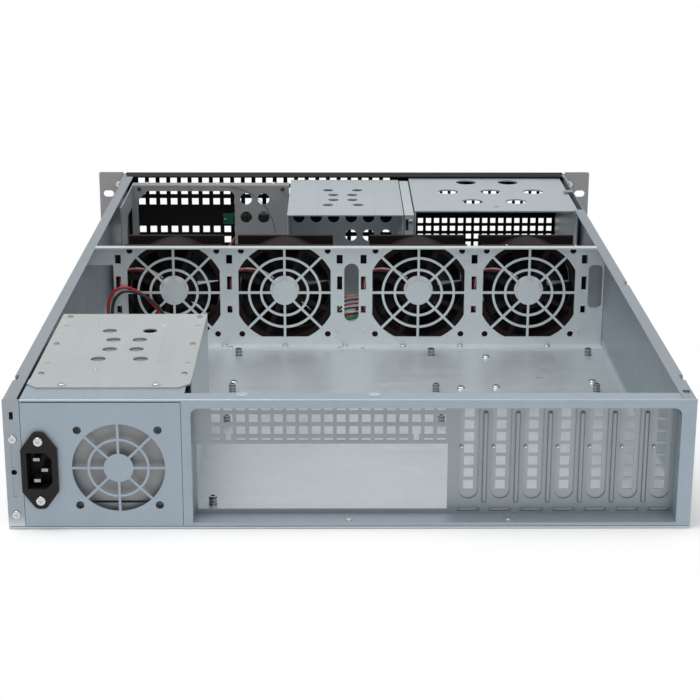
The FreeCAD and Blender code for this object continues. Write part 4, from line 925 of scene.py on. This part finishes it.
@dataclass
class SheetFittings:
    """Screws, rivets, pressed bosses, pressed lines, and dark lines of painted shade on the sheets, in bench
    millimetres.
    """

    rear_screws: Sequence[Point] = ((-209.7, 0.0, 60.1), (-209.7, 0.0, 9.6))
    sill_screws: Sequence[Point] = ((-0.8, 4.6, 3.8), (100.4, 5.0, 3.8))
    cover_screws: Sequence[Point] = ((-181.6, 25.6, 87.0), (-122.2, 25.6, 87.0))
    cover_rivets: Sequence[Point] = ((-198.4, 115.9, 86.0), (-198.6, 51.9, 86.0), (-106.0, 115.8, 86.0),
                                     (-106.4, 51.7, 86.0), (-198.0, 180.6, 86.0), (-105.8, 180.5, 86.0))
    cover_pips: Sequence[Point] = ((-176.4, 158.5, 86.0), (-164.7, 59.4, 86.0))
    cover_slits: Sequence[Point] = ((-197.3, 159.0, 85.9), (-198.3, 74.0, 85.9), (-105.7, 158.9, 85.9),
                                    (-106.2, 73.9, 85.9))
    cage_rivets: Sequence[Point] = ((47.2, 642.1, 84.0), (47.0, 581.2, 84.0), (46.5, 541.2, 84.0),
                                    (-45.0, 646.0, 84.0), (-47.1, 584.4, 84.0), (-47.5, 519.0, 84.0))
    foot_screws: Sequence[Point] = ((-101.3, 377.6, 2.4), (-51.0, 377.6, 2.4), (-0.8, 377.6, 2.4),
                                    (47.5, 377.6, 2.4), (95.0, 377.6, 2.4), (168.0, 377.6, 2.4))
    foot_rivets: Sequence[Point] = ((-96.0, 374.0, 2.4), (-5.3, 371.5, 2.4), (13.5, 371.5, 2.4))
    wall_rivets: Sequence[Point] = ((132.4, 384.0, 87.2), (189.3, 384.0, 87.2))
    wall_pips: Sequence[Point] = ((-8.2, 381.5, 14.5), (14.6, 381.5, 14.5), (194.0, 381.5, 15.0))
    foot_posts: Sequence[Point] = ((-88.6, 355.0, 1.2), (69.8, 355.0, 1.2), (199.0, 355.0, 1.2))
    bosses: Sequence[Point] = ((-89.0, 286.0, 1.2), (88.8, 271.7, 1.2), (116.2, 274.1, 1.2),
                               (114.6, 351.0, 1.2), (193.3, 286.5, 1.2))
    flange_rings: Sequence[Point] = ((-67.3, 9.6, 86.0), (15.1, 9.5, 86.0))
    bulkhead_screws: Sequence[Point] = ((-189.0, 629.5, 86.4), (-122.0, 629.5, 86.4), (-68.0, 629.5, 86.4))
    bulkhead_rivets: Sequence[Point] = ((-195.6, 620.0, 83.0), (-59.3, 619.3, 83.0))
    divider_screw: Sequence[Point] = ((58.3, 507.0, 77.8),)
    cover_top: float = 85.7
    cage_top: float = 83.7
    line_radius: float = 0.5
    shadow_line_radius: float = 0.3
    handle_head: float = 3.0
    head_rise: float = 1.5
    shank_radius: float = 1.4
    seam: float = 0.2
    seam_y: float = 0.2
    seam_z: float = 84.6
    facing_centre: Point = (-115.0, 619.9, 37.0)
    facing_radius: float = 48.5
    slot_first: float = 75.4
    slot_pitch: float = 20.32
    slots: int = 7
    slot_dimple: float = -4.8
    slot_dimple_z: float = 49.0
    recess: float = 15.0
    standoff_columns: Sequence[float] = (-88.8, 68.7, 193.1)
    standoff_rows: Sequence[float] = (36.0, 191.0, 263.4)
    floor: float = 1.2

    def build_screws(self) -> None:
        """Make the pan-head screws."""
        large = pan_screw(2.7, 1.3)
        small = pan_screw(2.1, 1.0)
        sets = (("rear_screws", large, self.rear_screws, Facing.REAR),
                ("sill_screws", small, self.sill_screws, Facing.UP),
                ("cover_screws", large, self.cover_screws, Facing.UP),
                ("bulkhead_screws", small, self.bulkhead_screws, Facing.UP),
                ("foot_screws", large, self.foot_screws, Facing.UP),
                ("divider_screw", small, self.divider_screw, Facing.REAR))
        for name, master, spots, facing in sets:
            piece = place_copies(master, name, spots, facing)
            finish_piece(piece, Palette.SCREW)
        for node, paired in (("inlet_screws", False), ("handle_screws", True)):
            low, high = (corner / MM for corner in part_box(node))
            head = self.handle_head if paired else 0.5 * (high.x - low.x)
            columns = (low.x + head, high.x - head) if paired else (0.5 * (low.x + high.x),)
            face = low.y - REAR_FACE / MM + self.head_rise
            spots = [(x, face, z) for x in columns for z in (low.z + head, high.z - head)]
            cap = pan_screw(head, self.head_rise)
            shank = new_round("shank", self.shank_radius, high.y - low.y - self.head_rise, 12,
                              self.head_rise - (high.y - low.y))
            bpy.ops.object.mode_set(mode="OBJECT")
            activate(cap, shank)
            bpy.ops.object.join()
            piece = place_copies(cap, "recessed_" + node, spots, Facing.REAR)
            finish_piece(piece, Palette.SCREW)
            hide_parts(node)
            bpy.data.objects.remove(cap)
        bpy.data.objects.remove(large)
        bpy.data.objects.remove(small)
        LOG.info("screws")

    def build_pressings(self) -> None:
        """Make the rivets, bosses and rings."""
        dome = rivet(2.1, 0.55)
        for name, spots, facing, finish in (
                ("cover_rivets", self.cover_rivets, Facing.UP, Palette.POST_STEEL),
                ("foot_rivets", self.foot_rivets, Facing.UP, Palette.SCREW),
                ("bulkhead_rivets", self.bulkhead_rivets, Facing.REAR, Palette.DARK_STEEL_AND_SHADE)):
            piece = place_copies(dome, name, spots, facing)
            finish_piece(piece, finish)
        pip = rivet(1.0, 0.7)
        for name, spots, facing in (("cover_pips", self.cover_pips, Facing.UP),
                                    ("cage_rivets", self.cage_rivets, Facing.UP),
                                    ("wall_rivets", self.wall_rivets, Facing.UP),
                                    ("wall_pips", self.wall_pips, Facing.REAR)):
            piece = place_copies(pip, name, spots, facing)
            finish_piece(piece, Palette.SCREW)
        spots = [(self.slot_first + k * self.slot_pitch + self.slot_dimple, self.recess, self.slot_dimple_z)
                 for k in range(self.slots)]
        piece = place_copies(pip, "slot_pips", spots, Facing.REAR)
        finish_piece(piece, Palette.SCREW)
        boss = pressed_boss(3.2, 1.5, 1.6)
        piece = place_copies(boss, "floor_bosses", self.bosses, Facing.UP)
        finish_piece(piece, Palette.SCREW)
        ring = ring_mark(3.6)
        piece = place_copies(ring, "flange_rings", self.flange_rings, Facing.UP)
        finish_piece(piece, Palette.ZINC)
        post = threaded_standoff(2.7, 6.0, 4)
        piece = place_copies(post, "foot_posts", self.foot_posts, Facing.UP)
        finish_piece(piece, Palette.POST_THREAD)
        for master in (dome, pip, boss, ring, post):
            bpy.data.objects.remove(master)
        LOG.info("rivets and bosses")

    def build_standoffs(self) -> None:
        """Replace the plain standoffs by grooved ones."""
        post = threaded_standoff(2.7, 6.5, 4)
        spots = [(x, y, self.floor) for x in self.standoff_columns for y in self.standoff_rows]
        piece = place_copies(post, "board_standoffs", spots, Facing.UP)
        finish_piece(piece, Palette.POST_THREAD)
        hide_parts("standoffs")
        bpy.data.objects.remove(post)
        LOG.info("standoffs")

    def build_lines(self) -> None:
        """Make the pressed lines of the covers, and dark lines of painted shade in the cover's slits, in the seam of
        the rear plate and along the arc of the bulkhead.
        """
        top, cage_top = self.cover_top, self.cage_top
        routes = {"cover_line": ((-131.5, 159.5, top), (-126.7, 158.9, top), (-126.2, 76.5, top)),
                  "cage_line": ((-25.2, 509.0, cage_top), (-24.2, 623.3, cage_top), (26.7, 623.3, cage_top),
                                (26.0, 509.0, cage_top))}
        for number, (x, y, z) in enumerate(self.cover_slits, 1):
            routes["cover_slit_%d" % number] = ((x - 1.9, y - 0.8, z), (x, y + 0.2, z), (x + 1.9, y + 0.6, z))
        low, high = (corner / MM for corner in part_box("psu_rear_plate"))
        edge = high.x + self.seam
        routes["plate_seam"] = ((low.x + 1.0, self.seam_y, self.seam_z), (edge, self.seam_y, self.seam_z),
                                (edge, self.seam_y, low.z + 1.0))
        x, y, z = self.facing_centre
        routes["bulkhead_arc"] = [(x + self.facing_radius * math.sin(math.radians(a)), y,
                                   z + self.facing_radius * math.cos(math.radians(a))) for a in range(-4, 91, 6)]
        for name, route in routes.items():
            # Painted shade: the slits, the plate's seam and the bulkhead's arc are dark lines standing in for the
            # shade in cuts, in a gap and under an edge.
            dark = name.startswith(("cover_slit", "plate", "bulkhead"))
            finish_piece(ridge(name, route, self.shadow_line_radius if dark else self.line_radius),
                         Palette.DARK_STEEL_AND_SHADE if dark else Palette.ZINC_COVER)
        LOG.info("pressed lines")

    def build(self) -> None:
        """Make every fitting."""
        self.build_screws()
        self.build_pressings()
        self.build_standoffs()
        self.build_lines()


@dataclass
class BoxLining:
    """Inner sheet of the power supply bay, close under its vented cover."""

    low: Point = (-194.7, 41.0, 84.1)
    high: Point = (-110.3, 186.0, 84.7)
    window: Point = (-137.8, 149.5, 84.4)
    window_radius: float = 8.5
    back_low: Point = (-176.0, 6.0, 16.6)
    back_high: Point = (-106.5, 6.6, 78.0)
    foot_low: Point = (-176.0, 4.8, 3.0)
    foot_high: Point = (-106.5, 5.4, 15.6)

    def build(self) -> None:
        """Make the sheet, open under the last vent hole alone."""
        sheet = new_block("box_lining", self.low, self.high)
        tool = new_round("lining_tool", self.window_radius, 4.0, 24, self.window[2] - 2.0)
        bpy.ops.object.mode_set(mode="OBJECT")
        tool.location = at((self.window[0], self.window[1], 0.0))
        carve(sheet, settle(tool))
        # The lining takes the darkened zinc of painted shade.
        finish_piece(sheet, Palette.ZINC_RECESS_SHADED)
        back = new_block("box_back", self.back_low, self.back_high)
        # The back and its foot take the darkened zinc of painted shade.
        finish_piece(back, Palette.ZINC_SHADED)
        foot = new_block("box_back_foot", self.foot_low, self.foot_high)
        finish_piece(foot, Palette.ZINC_SHADED)
        LOG.info("lining of the power supply bay")


@dataclass
class FanClips:
    """Dark moulded strips that hold the fans, seen through the slots of the fan wall."""

    fans: Sequence[float] = FAN_COLUMNS
    reach: float = 44.6
    half: float = 4.0
    rear: float = 391.0
    front: float = 393.0
    low: float = 9.0
    short_low: float = 46.0
    short_within: float = 25.0
    high: float = 84.5
    border: float = 1.0
    shift: float = 0.3

    def build(self) -> None:
        """Make a strip at each side of each fan, short beside the front leads."""
        strips = []
        for x in self.fans:
            for side in (-1, 1):
                centre = x + side * self.reach
                low = self.short_low if abs(centre) < self.short_within else self.low
                strip = new_block("clip", (centre - self.half, self.rear, low),
                                  (centre + self.half, self.front, self.high))
                bpy.ops.object.mode_set(mode="EDIT")
                pick_faces(lambda middle, normal: abs(normal.y) > 0.9)
                bpy.ops.mesh.inset(thickness=self.border * MM)
                bpy.ops.transform.translate(value=(0.0, self.shift * MM, 0.0))
                bpy.ops.object.mode_set(mode="OBJECT")
                strips.append(strip)
        activate(*strips)
        bpy.ops.object.join()
        bpy.context.object.name = "fan_clips"
        finish_piece(bpy.context.object, Palette.FRAME)
        LOG.info("fan clips")


@dataclass
class BoardChips:
    """Black parts soldered on the back of the switch board."""

    back: float = 671.4
    parts: Sequence[tuple[float, float, float, float]] = (
        (-106.5, 42.0, 5.2, 6.4), (-99.0, 43.2, 6.8, 5.0), (-91.0, 45.4, 5.6, 2.4), (-80.6, 42.2, 8.4, 7.6),
        (-71.0, 43.0, 5.6, 5.6), (-98.2, 38.6, 4.6, 2.2))
    height: float = 2.4

    def build(self) -> None:
        """Make each part as a block with bevelled edges."""
        chips = []
        for number, (x, z, width, tall) in enumerate(self.parts, 1):
            chip = new_block("chip_%d" % number, (x - width / 2, self.back - self.height, z - tall / 2),
                             (x + width / 2, self.back, z + tall / 2))
            activate(chip)
            bpy.ops.object.mode_set(mode="EDIT")
            pick_faces(lambda centre, normal: normal.y < -0.9)
            bpy.ops.mesh.bevel(offset=0.4 * MM, segments=2, affect="EDGES")
            bpy.ops.object.mode_set(mode="OBJECT")
            chips.append(chip)
        activate(*chips)
        bpy.ops.object.join()
        finish_piece(bpy.context.object, Palette.SWITCH)
        LOG.info("parts on the board")


# ---------------------------------------------------------------- wires

@dataclass
class Wire:
    """One insulated wire along a route of bench points."""

    name: str
    route: Sequence[Point]
    radius: float
    finish: Palette
    slot: str
    length: float
    far_end: str = "plug"
    replaces: tuple[str, ...] = ()
    carries: tuple[str, ...] = ()

    def build(self) -> bpy.types.Object:
        curve = bpy.data.curves.new(self.name, "CURVE")
        curve.dimensions = "3D"
        curve.bevel_depth = self.radius * MM
        curve.bevel_resolution = 3
        curve.resolution_u = 8
        curve.use_fill_caps = True
        spline = curve.splines.new("NURBS")
        spline.points.add(len(self.route) - 1)
        for target, point in zip(spline.points, self.route):
            target.co = (*at(point), 1.0)
        spline.order_u = 3
        spline.use_endpoint_u = True
        item = bpy.data.objects.new(self.name, curve)
        bpy.context.collection.objects.link(item)
        curve.materials.append(self.finish.material())
        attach(item, CASE)
        if self.replaces:
            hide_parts(*self.replaces)
        2 * self.radius * MM
        return item


@dataclass
class PowerLeads:
    """Red and black lead from the mains inlet, over the loop on the fan wall, to the plug on the floor."""

    radius: float = 1.3
    red: Sequence[Point] = (
        (-195.3, 22.0, 46.9),
        (-195.3, 45.0, 46.0), (-188.0, 75.0, 39.0), (-172.0, 112.0, 31.0), (-149.0, 150.0, 26.0),
        (-131.5, 184.0, 24.0), (-128.0, 215.0, 18.5), (-131.0, 250.0, 9.0), (-137.0, 285.0, 3.4),
        (-142.5, 320.0, 3.4), (-146.0, 349.0, 8.5), (-149.5, 369.0, 20.0), (-154.5, 376.3, 32.5),
        (-163.5, 377.6, 43.0), (-173.5, 377.8, 50.6), (-183.5, 377.8, 54.0), (-192.5, 377.6, 50.2),
        (-197.2, 376.4, 40.0), (-197.0, 373.5, 27.0), (-195.0, 365.0, 13.5), (-193.0, 349.0, 5.0),
        (-191.5, 325.0, 3.2), (-190.0, 302.0, 4.6), (-189.0, 285.0, 6.7), (-189.0, 270.0, 6.7))
    black: Sequence[Point] = (
        (-195.3, 22.0, 32.9),
        (-195.3, 42.0, 33.5), (-187.0, 70.0, 30.0), (-168.0, 108.0, 24.5), (-143.5, 147.0, 21.0),
        (-126.5, 182.0, 20.5), (-123.6, 214.0, 14.5), (-126.5, 250.0, 5.2), (-133.0, 286.0, 3.6),
        (-138.4, 321.0, 3.6), (-142.2, 351.0, 9.5), (-146.3, 368.0, 21.5), (-151.5, 372.8, 33.8),
        (-160.5, 374.0, 43.0), (-171.0, 374.2, 49.2), (-181.5, 374.2, 51.6), (-189.0, 374.0, 47.6),
        (-193.4, 373.0, 38.5), (-193.2, 370.0, 26.5), (-191.0, 361.5, 14.0), (-189.0, 345.5, 5.6),
        (-187.4, 322.0, 3.4), (-186.0, 300.0, 4.8), (-185.0, 284.0, 6.7), (-185.0, 270.0, 6.7))

    def build(self) -> None:
        """Make both leads."""
        Wire("red_power_wire", self.red, self.radius, Palette.RED_WIRE, "wire_red", 568.0,
             replaces=("power_lead_red",), carries=("power_plug",)).build()
        Wire("black_power_wire", self.black, self.radius, Palette.BLACK_WIRE, "wire_black", 558.0,
             replaces=("power_lead_black",), carries=("power_plug",)).build()
        LOG.info("power leads")


@dataclass
class FanLeads:
    """Three thin wires of each fan, from the motor through the frame's groove to the plug."""

    fans: Sequence[float] = FAN_COLUMNS
    centre_z: float = FAN_HEIGHT
    face: float = 382.7
    radius: float = 0.62
    start: Point = (-9.0, 2.6, 10.4)
    route: Sequence[Point] = (
        (-14.5, 2.6, 15.5), (-23.5, 2.2, 18.4), (-33.5, 1.9, 19.4), (-41.8, 2.4, 17.0), (-45.6, 3.6, 9.0),
        (-45.9, 4.0, -2.0), (-45.2, 4.0, -14.0), (-44.6, 4.0, -25.0))
    plug_top: float = -33.2
    spread: Sequence[tuple[Palette, float, float]] = (
        (Palette.PALE_WIRE, 1.35, -0.5), (Palette.RED_WIRE, 0.0, 0.0), (Palette.BLACK_WIRE, -1.35, 0.5))

    def build(self) -> None:
        """Make the wires of every fan."""
        for number, x in enumerate(self.fans, 1):
            for finish, up, out in self.spread:
                points = [(x + dx, self.face + dy + out, self.centre_z + dz + up)
                          for dx, dy, dz in (self.start, *self.route[:4])]
                points += [(x + dx + up, self.face + dy + out, self.centre_z + dz)
                           for dx, dy, dz in self.route[4:]]
                last = self.route[-1]
                points.append((x + last[0] + up, self.face + last[1] + out, self.centre_z + self.plug_top))
                first = finish is Palette.PALE_WIRE
                Wire("fan_%d_%s" % (number, finish.value.name), points, self.radius, finish, "wire_black", 86.0,
                     replaces=("fan_lead_%d" % number,) if first else (),
                     carries=("fan_plug_%d" % number,)).build()
        LOG.info("fan leads")


@dataclass
class FrontLeads:
    """Six thin wires from their plug, round behind the middle slot, to the switch board."""

    radius: float = 0.8
    colours: Sequence[Palette] = (Palette.GREEN_WIRE, Palette.PALE_WIRE, Palette.BLACK_WIRE, Palette.RED_WIRE,
                                  Palette.BLACK_WIRE, Palette.ORANGE_WIRE)
    route: Sequence[tuple[float, float, float, float, float]] = (
        (-8.2, 434.0, 9.7, 0.0, 2.4), (-8.2, 421.0, 10.5, 0.0, 2.4), (-7.8, 407.5, 17.0, 0.0, 2.6),
        (-7.6, 394.6, 27.0, 0.0, 3.2), (-0.9, 386.9, 34.0, 0.0, 3.5), (9.2, 387.0, 35.0, 0.0, 3.5),
        (16.2, 394.6, 33.5, 0.0, 3.3), (15.9, 407.5, 27.5, 0.0, 2.6), (11.5, 421.0, 19.5, 0.4, 2.0),
        (3.0, 435.0, 11.5, 1.2, 1.2), (-9.0, 450.0, 5.6, 1.5, 0.4), (-24.0, 467.0, 3.3, 1.5, 0.0),
        (-40.0, 487.0, 3.1, 1.5, 0.0), (-55.0, 509.0, 3.1, 1.5, 0.0), (-68.0, 533.0, 3.1, 1.5, 0.0),
        (-80.0, 558.0, 3.6, 1.5, 0.0), (-93.0, 580.0, 7.0, 1.4, 0.3), (-106.0, 598.0, 13.0, 1.2, 0.6),
        (-113.5, 614.0, 19.5, 1.0, 0.8), (-113.0, 631.0, 24.5, 0.8, 1.0), (-105.0, 645.0, 29.5, 0.5, 1.2),
        (-96.0, 657.0, 35.5, 0.3, 1.3), (-88.3, 671.4, 40.5, 0.0, 1.4))

    def build(self) -> None:
        """Make the six wires."""
        middle = (len(self.colours) - 1) / 2
        for number, finish in enumerate(self.colours):
            step = number - middle
            points = [(x + across * step, y + 0.6 * across * step, z + up * step)
                      for x, y, z, across, up in self.route]
            first = number == 0
            Wire("front_wire_%d" % (number + 1), points, self.radius, finish, "wire_mixed", 409.0,
                 replaces=("front_leads",) if first else (),
                 carries=("leads_plug",)).build()
        LOG.info("front leads")


@dataclass
class FanRotors:
    """Seven wide twisted blades round a hub with rounded rims, one rotor to a fan."""

    fans: Sequence[float] = FAN_COLUMNS
    centre_z: float = FAN_HEIGHT
    front: float = 418.7
    depth: float = 29.4
    hub_radius: float = 17.0
    tip_radius: float = 37.3
    shaft_radius: float = 1.45
    shaft_reach: float = 4.6
    blades: int = 7
    blade_depth: float = 27.0
    sweep: float = 60.0
    wall: float = 1.3

    def blade(self, turn: float) -> bpy.types.Object:
        """One blade, twisted along the axle.

        Args:
            turn: Its place round the hub in radians.

        Returns:
            The blade.
        """
        activate()
        reach = self.tip_radius - self.hub_radius + 0.6
        middle = Vector(((self.tip_radius - reach / 2) * MM, 0.0, self.depth / 2 * MM))
        bpy.ops.mesh.primitive_grid_add(x_subdivisions=4, y_subdivisions=14, size=1.0, location=middle,
                                        rotation=(math.pi / 2, 0.0, 0.0))
        blade = bpy.context.object
        blade.scale = (reach * MM, self.blade_depth * MM, 1.0)
        settle(blade)
        twist = blade.modifiers.new("twist", "SIMPLE_DEFORM")
        twist.deform_method = "TWIST"
        twist.deform_axis = "Z"
        twist.angle = math.radians(self.sweep)
        bpy.ops.object.modifier_apply(modifier="twist")
        wall = blade.modifiers.new("wall", "SOLIDIFY")
        wall.thickness = self.wall * MM
        wall.offset = 0.0
        bpy.ops.object.modifier_apply(modifier="wall")
        blade.rotation_euler = (0.0, 0.0, turn)
        return settle(blade)

    def master(self) -> bpy.types.Object:
        """The whole rotor, standing on the origin."""
        hub = new_round("rotor_master", self.hub_radius, self.depth, 48)
        top = self.depth * MM
        pick_edges(lambda a, b: abs(a.z - b.z) < 1e-6)
        bpy.ops.mesh.bevel(offset=1.2 * MM, segments=3, affect="EDGES")
        pick_faces(lambda centre, normal: normal.z < -0.99)
        bpy.ops.mesh.inset(thickness=3.0 * MM)
        bpy.ops.mesh.extrude_region_move(TRANSFORM_OT_translate={"value": (0.0, 0.0, 0.8 * MM)})
        bpy.ops.object.mode_set(mode="OBJECT")
        shaft = new_round("rotor_shaft", self.shaft_radius, self.shaft_reach, 16, self.depth)
        bpy.ops.object.mode_set(mode="OBJECT")
        blades = [self.blade(2 * math.pi * index / self.blades) for index in range(self.blades)]
        activate(hub, shaft, *blades)
        bpy.ops.object.join()
        smooth(hub)
        LOG.info("rotor of %.1f mm, blades to %.1f mm", top / MM, self.tip_radius)
        return hub

    def build(self) -> None:
        """Make the rotor of every fan."""
        master = self.master()
        for number, x in enumerate(self.fans, 1):
            piece = place_copies(master, "bladed_rotor_%d" % number, [(x, self.front, self.centre_z)], Facing.REAR)
            finish_piece(piece, Palette.BLADE, "rotor_%d" % number)
            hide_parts("fan_rotor_%d" % number)
        bpy.data.objects.remove(master)
        LOG.info("fan rotors")


@dataclass
class MotorPlates:
    """Bright discs on the motor seats, seen round the hubs of the fan guards."""

    fans: Sequence[float] = FAN_COLUMNS
    centre_z: float = FAN_HEIGHT
    seat: float = 383.3
    radius: float = 12.0
    rise: float = 2.2
    thickness: float = 0.25

    def build(self) -> None:
        """Make the four discs."""
        disc = new_round("disc_master", self.radius, self.thickness, 40)
        top = self.thickness * MM
        pick_rim(top)
        bpy.ops.mesh.bevel(offset=0.4 * top, segments=1, affect="EDGES")
        bpy.ops.object.mode_set(mode="OBJECT")
        spots = [(x, self.seat, self.centre_z + self.rise) for x in self.fans]
        piece = place_copies(disc, "motor_plates", spots, Facing.REAR)
        finish_piece(piece, Palette.FOIL)
        bpy.data.objects.remove(disc)
        LOG.info("motor plates")


# ---------------------------------------------------------------- camera and studio

@dataclass
class View:
    """Camera behind and above the case, in bench millimetres and degrees."""

    place: Point = (-9.467, -1029.384, 443.29)
    yaw: float = 0.515
    pitch: float = 17.531
    roll: float = 0.133
    lens: float = 90.76
    sensor: float = 36.0

    def build(self) -> None:
        """Set up the camera."""
        yaw, pitch, roll = (math.radians(value) for value in (self.yaw, self.pitch, self.roll))
        forward = Vector((math.sin(yaw) * math.cos(pitch), math.cos(yaw) * math.cos(pitch), -math.sin(pitch)))
        right = Vector((math.cos(yaw), -math.sin(yaw), 0.0))
        up = right.cross(forward)
        side = math.cos(roll) * right + math.sin(roll) * up
        head = -math.sin(roll) * right + math.cos(roll) * up
        turn = Matrix((side, head, -forward)).transposed().to_4x4()
        data = bpy.data.cameras.new("view")
        data.lens = self.lens
        data.sensor_width = self.sensor
        data.clip_end = 50.0
        camera = bpy.data.objects.new("view", data)
        bpy.context.collection.objects.link(camera)
        camera.matrix_world = Matrix.Translation(at(self.place)) @ turn
        bpy.context.scene.camera = camera
        LOG.info("camera")


@dataclass
class Studio:
    """Pale floor, white surroundings and soft lamps."""

    floor_tone: float = 0.93
    floor_half: float = 9.0
    shadow_half: tuple[float, float] = (0.212, 0.352)
    shadow_fade: float = 0.06
    world_light: float = 0.66
    horizon_light: float = 0.30
    mirrored_light: float = 0.15
    horizon: float = -0.05
    horizon_width: float = 0.75
    floor_drop: float = 0.0005
    floor_roughness: float = 0.9

    def build_world(self) -> None:
        """White surroundings that light the case softly."""
        world = bpy.data.worlds.new("surroundings")
        world.use_nodes = True
        tree = world.node_tree
        tree.nodes.clear()
        output = tree.nodes.new("ShaderNodeOutputWorld")
        background = tree.nodes.new("ShaderNodeBackground")
        path = tree.nodes.new("ShaderNodeLightPath")
        seen = (Channel(tree, path.outputs["Is Camera Ray"])
                + Channel(tree, path.outputs["Is Transmission Ray"])).clamp()
        coordinates = tree.nodes.new("ShaderNodeTexCoord")
        split = tree.nodes.new("ShaderNodeSeparateXYZ")
        tree.links.new(coordinates.outputs["Generated"], split.inputs[0])
        height = Channel(tree, split.outputs["Z"]).over(self.horizon, self.horizon_width)
        light = height * (self.world_light - self.horizon_light) + self.horizon_light
        mirrored = Channel(tree, path.outputs["Is Glossy Ray"])
        strength = seen + (1.0 - seen) * (light + mirrored * self.mirrored_light)
        tree.links.new(strength.socket, background.inputs["Strength"])
        background.inputs["Color"].default_value = (1.0, 1.0, 1.0, 1.0)
        tree.links.new(background.outputs[0], output.inputs["Surface"])
        bpy.context.scene.world = world

    def build_floor(self) -> None:
        """Pale floor that keeps the shadow of the case and fades into the surroundings."""
        activate()
        bpy.ops.mesh.primitive_plane_add(size=2 * self.floor_half, location=(0.0, 0.0, -self.floor_drop))
        floor = bpy.context.object
        floor.name = "studio_floor"
        finish = Finish("studio_floor")
        tone = (self.floor_tone,) * 3
        finish.set(Base_Color=(*tone, 1.0), Roughness=self.floor_roughness)
        across = finish.node("ShaderNodeSeparateXYZ", {}, {"Vector": finish.place}, "X")
        along = finish.node("ShaderNodeSeparateXYZ", {}, {"Vector": finish.place}, "Y")
        beside = (across.size() - self.shadow_half[0]).most(along.size() - self.shadow_half[1])
        path = finish.tree.nodes.new("ShaderNodeLightPath")
        seen = (Channel(finish.tree, path.outputs["Is Camera Ray"])
                + Channel(finish.tree, path.outputs["Is Glossy Ray"])
                + Channel(finish.tree, path.outputs["Is Transmission Ray"])).clamp()
        emission = finish.tree.nodes.new("ShaderNodeEmission")
        mix = finish.tree.nodes.new("ShaderNodeMixShader")
        finish.feed(mix.inputs[0], seen * beside.over(0.0, self.shadow_fade))
        finish.tree.links.new(finish.surface.outputs["BSDF"], mix.inputs[1])
        finish.tree.links.new(emission.outputs[0], mix.inputs[2])
        output = next(node for node in finish.tree.nodes if node.type == "OUTPUT_MATERIAL")
        finish.tree.links.new(mix.outputs[0], output.inputs["Surface"])
        floor.data.materials.append(finish.material)

    def build_lamp(self, name: str, place: Point, target: Point, size: float, power: float) -> None:
        """Add one soft lamp.

        Args:
            name: Its name.
            place: Where it hangs, in metres.
            target: What it looks at, in metres.
            size: Edge of its square face in metres.
            power: Its power in watts.
        """
        data = bpy.data.lights.new(name, "AREA")
        data.size = size
        data.energy = power
        lamp = bpy.data.objects.new(name, data)
        bpy.context.collection.objects.link(lamp)
        lamp.location = place
        lamp.rotation_euler = (Vector(target) - Vector(place)).to_track_quat("-Z", "Y").to_euler()

    def build(self) -> None:
        """Set up the surroundings."""
        scene = bpy.context.scene
        scene.view_settings.view_transform = "Standard"
        self.build_world()
        self.build_floor()
        self.build_lamp("key_lamp", (-0.7, -0.5, 2.7), (0.0, 0.0, 0.0), 1.4, 44.0)
        self.build_lamp("fill_lamp", (1.6, -1.8, 1.6), (0.0, -0.1, 0.05), 1.4, 7.0)
        LOG.info("studio")


def main() -> None:
    """Build the case's looks in order and report each piece."""
    logging.basicConfig(level=logging.INFO, format="%(name)s: %(message)s")
    View().build()
    PowerLeads().build()
    FanLeads().build()
    FrontLeads().build()
    dress_nodes()
    SheetFittings().build()
    BoxLining().build()
    FanClips().build()
    BoardChips().build()
    FanRotors().build()
    MotorPlates().build()
    Studio().build()


if __name__ == "__main__":
    main()
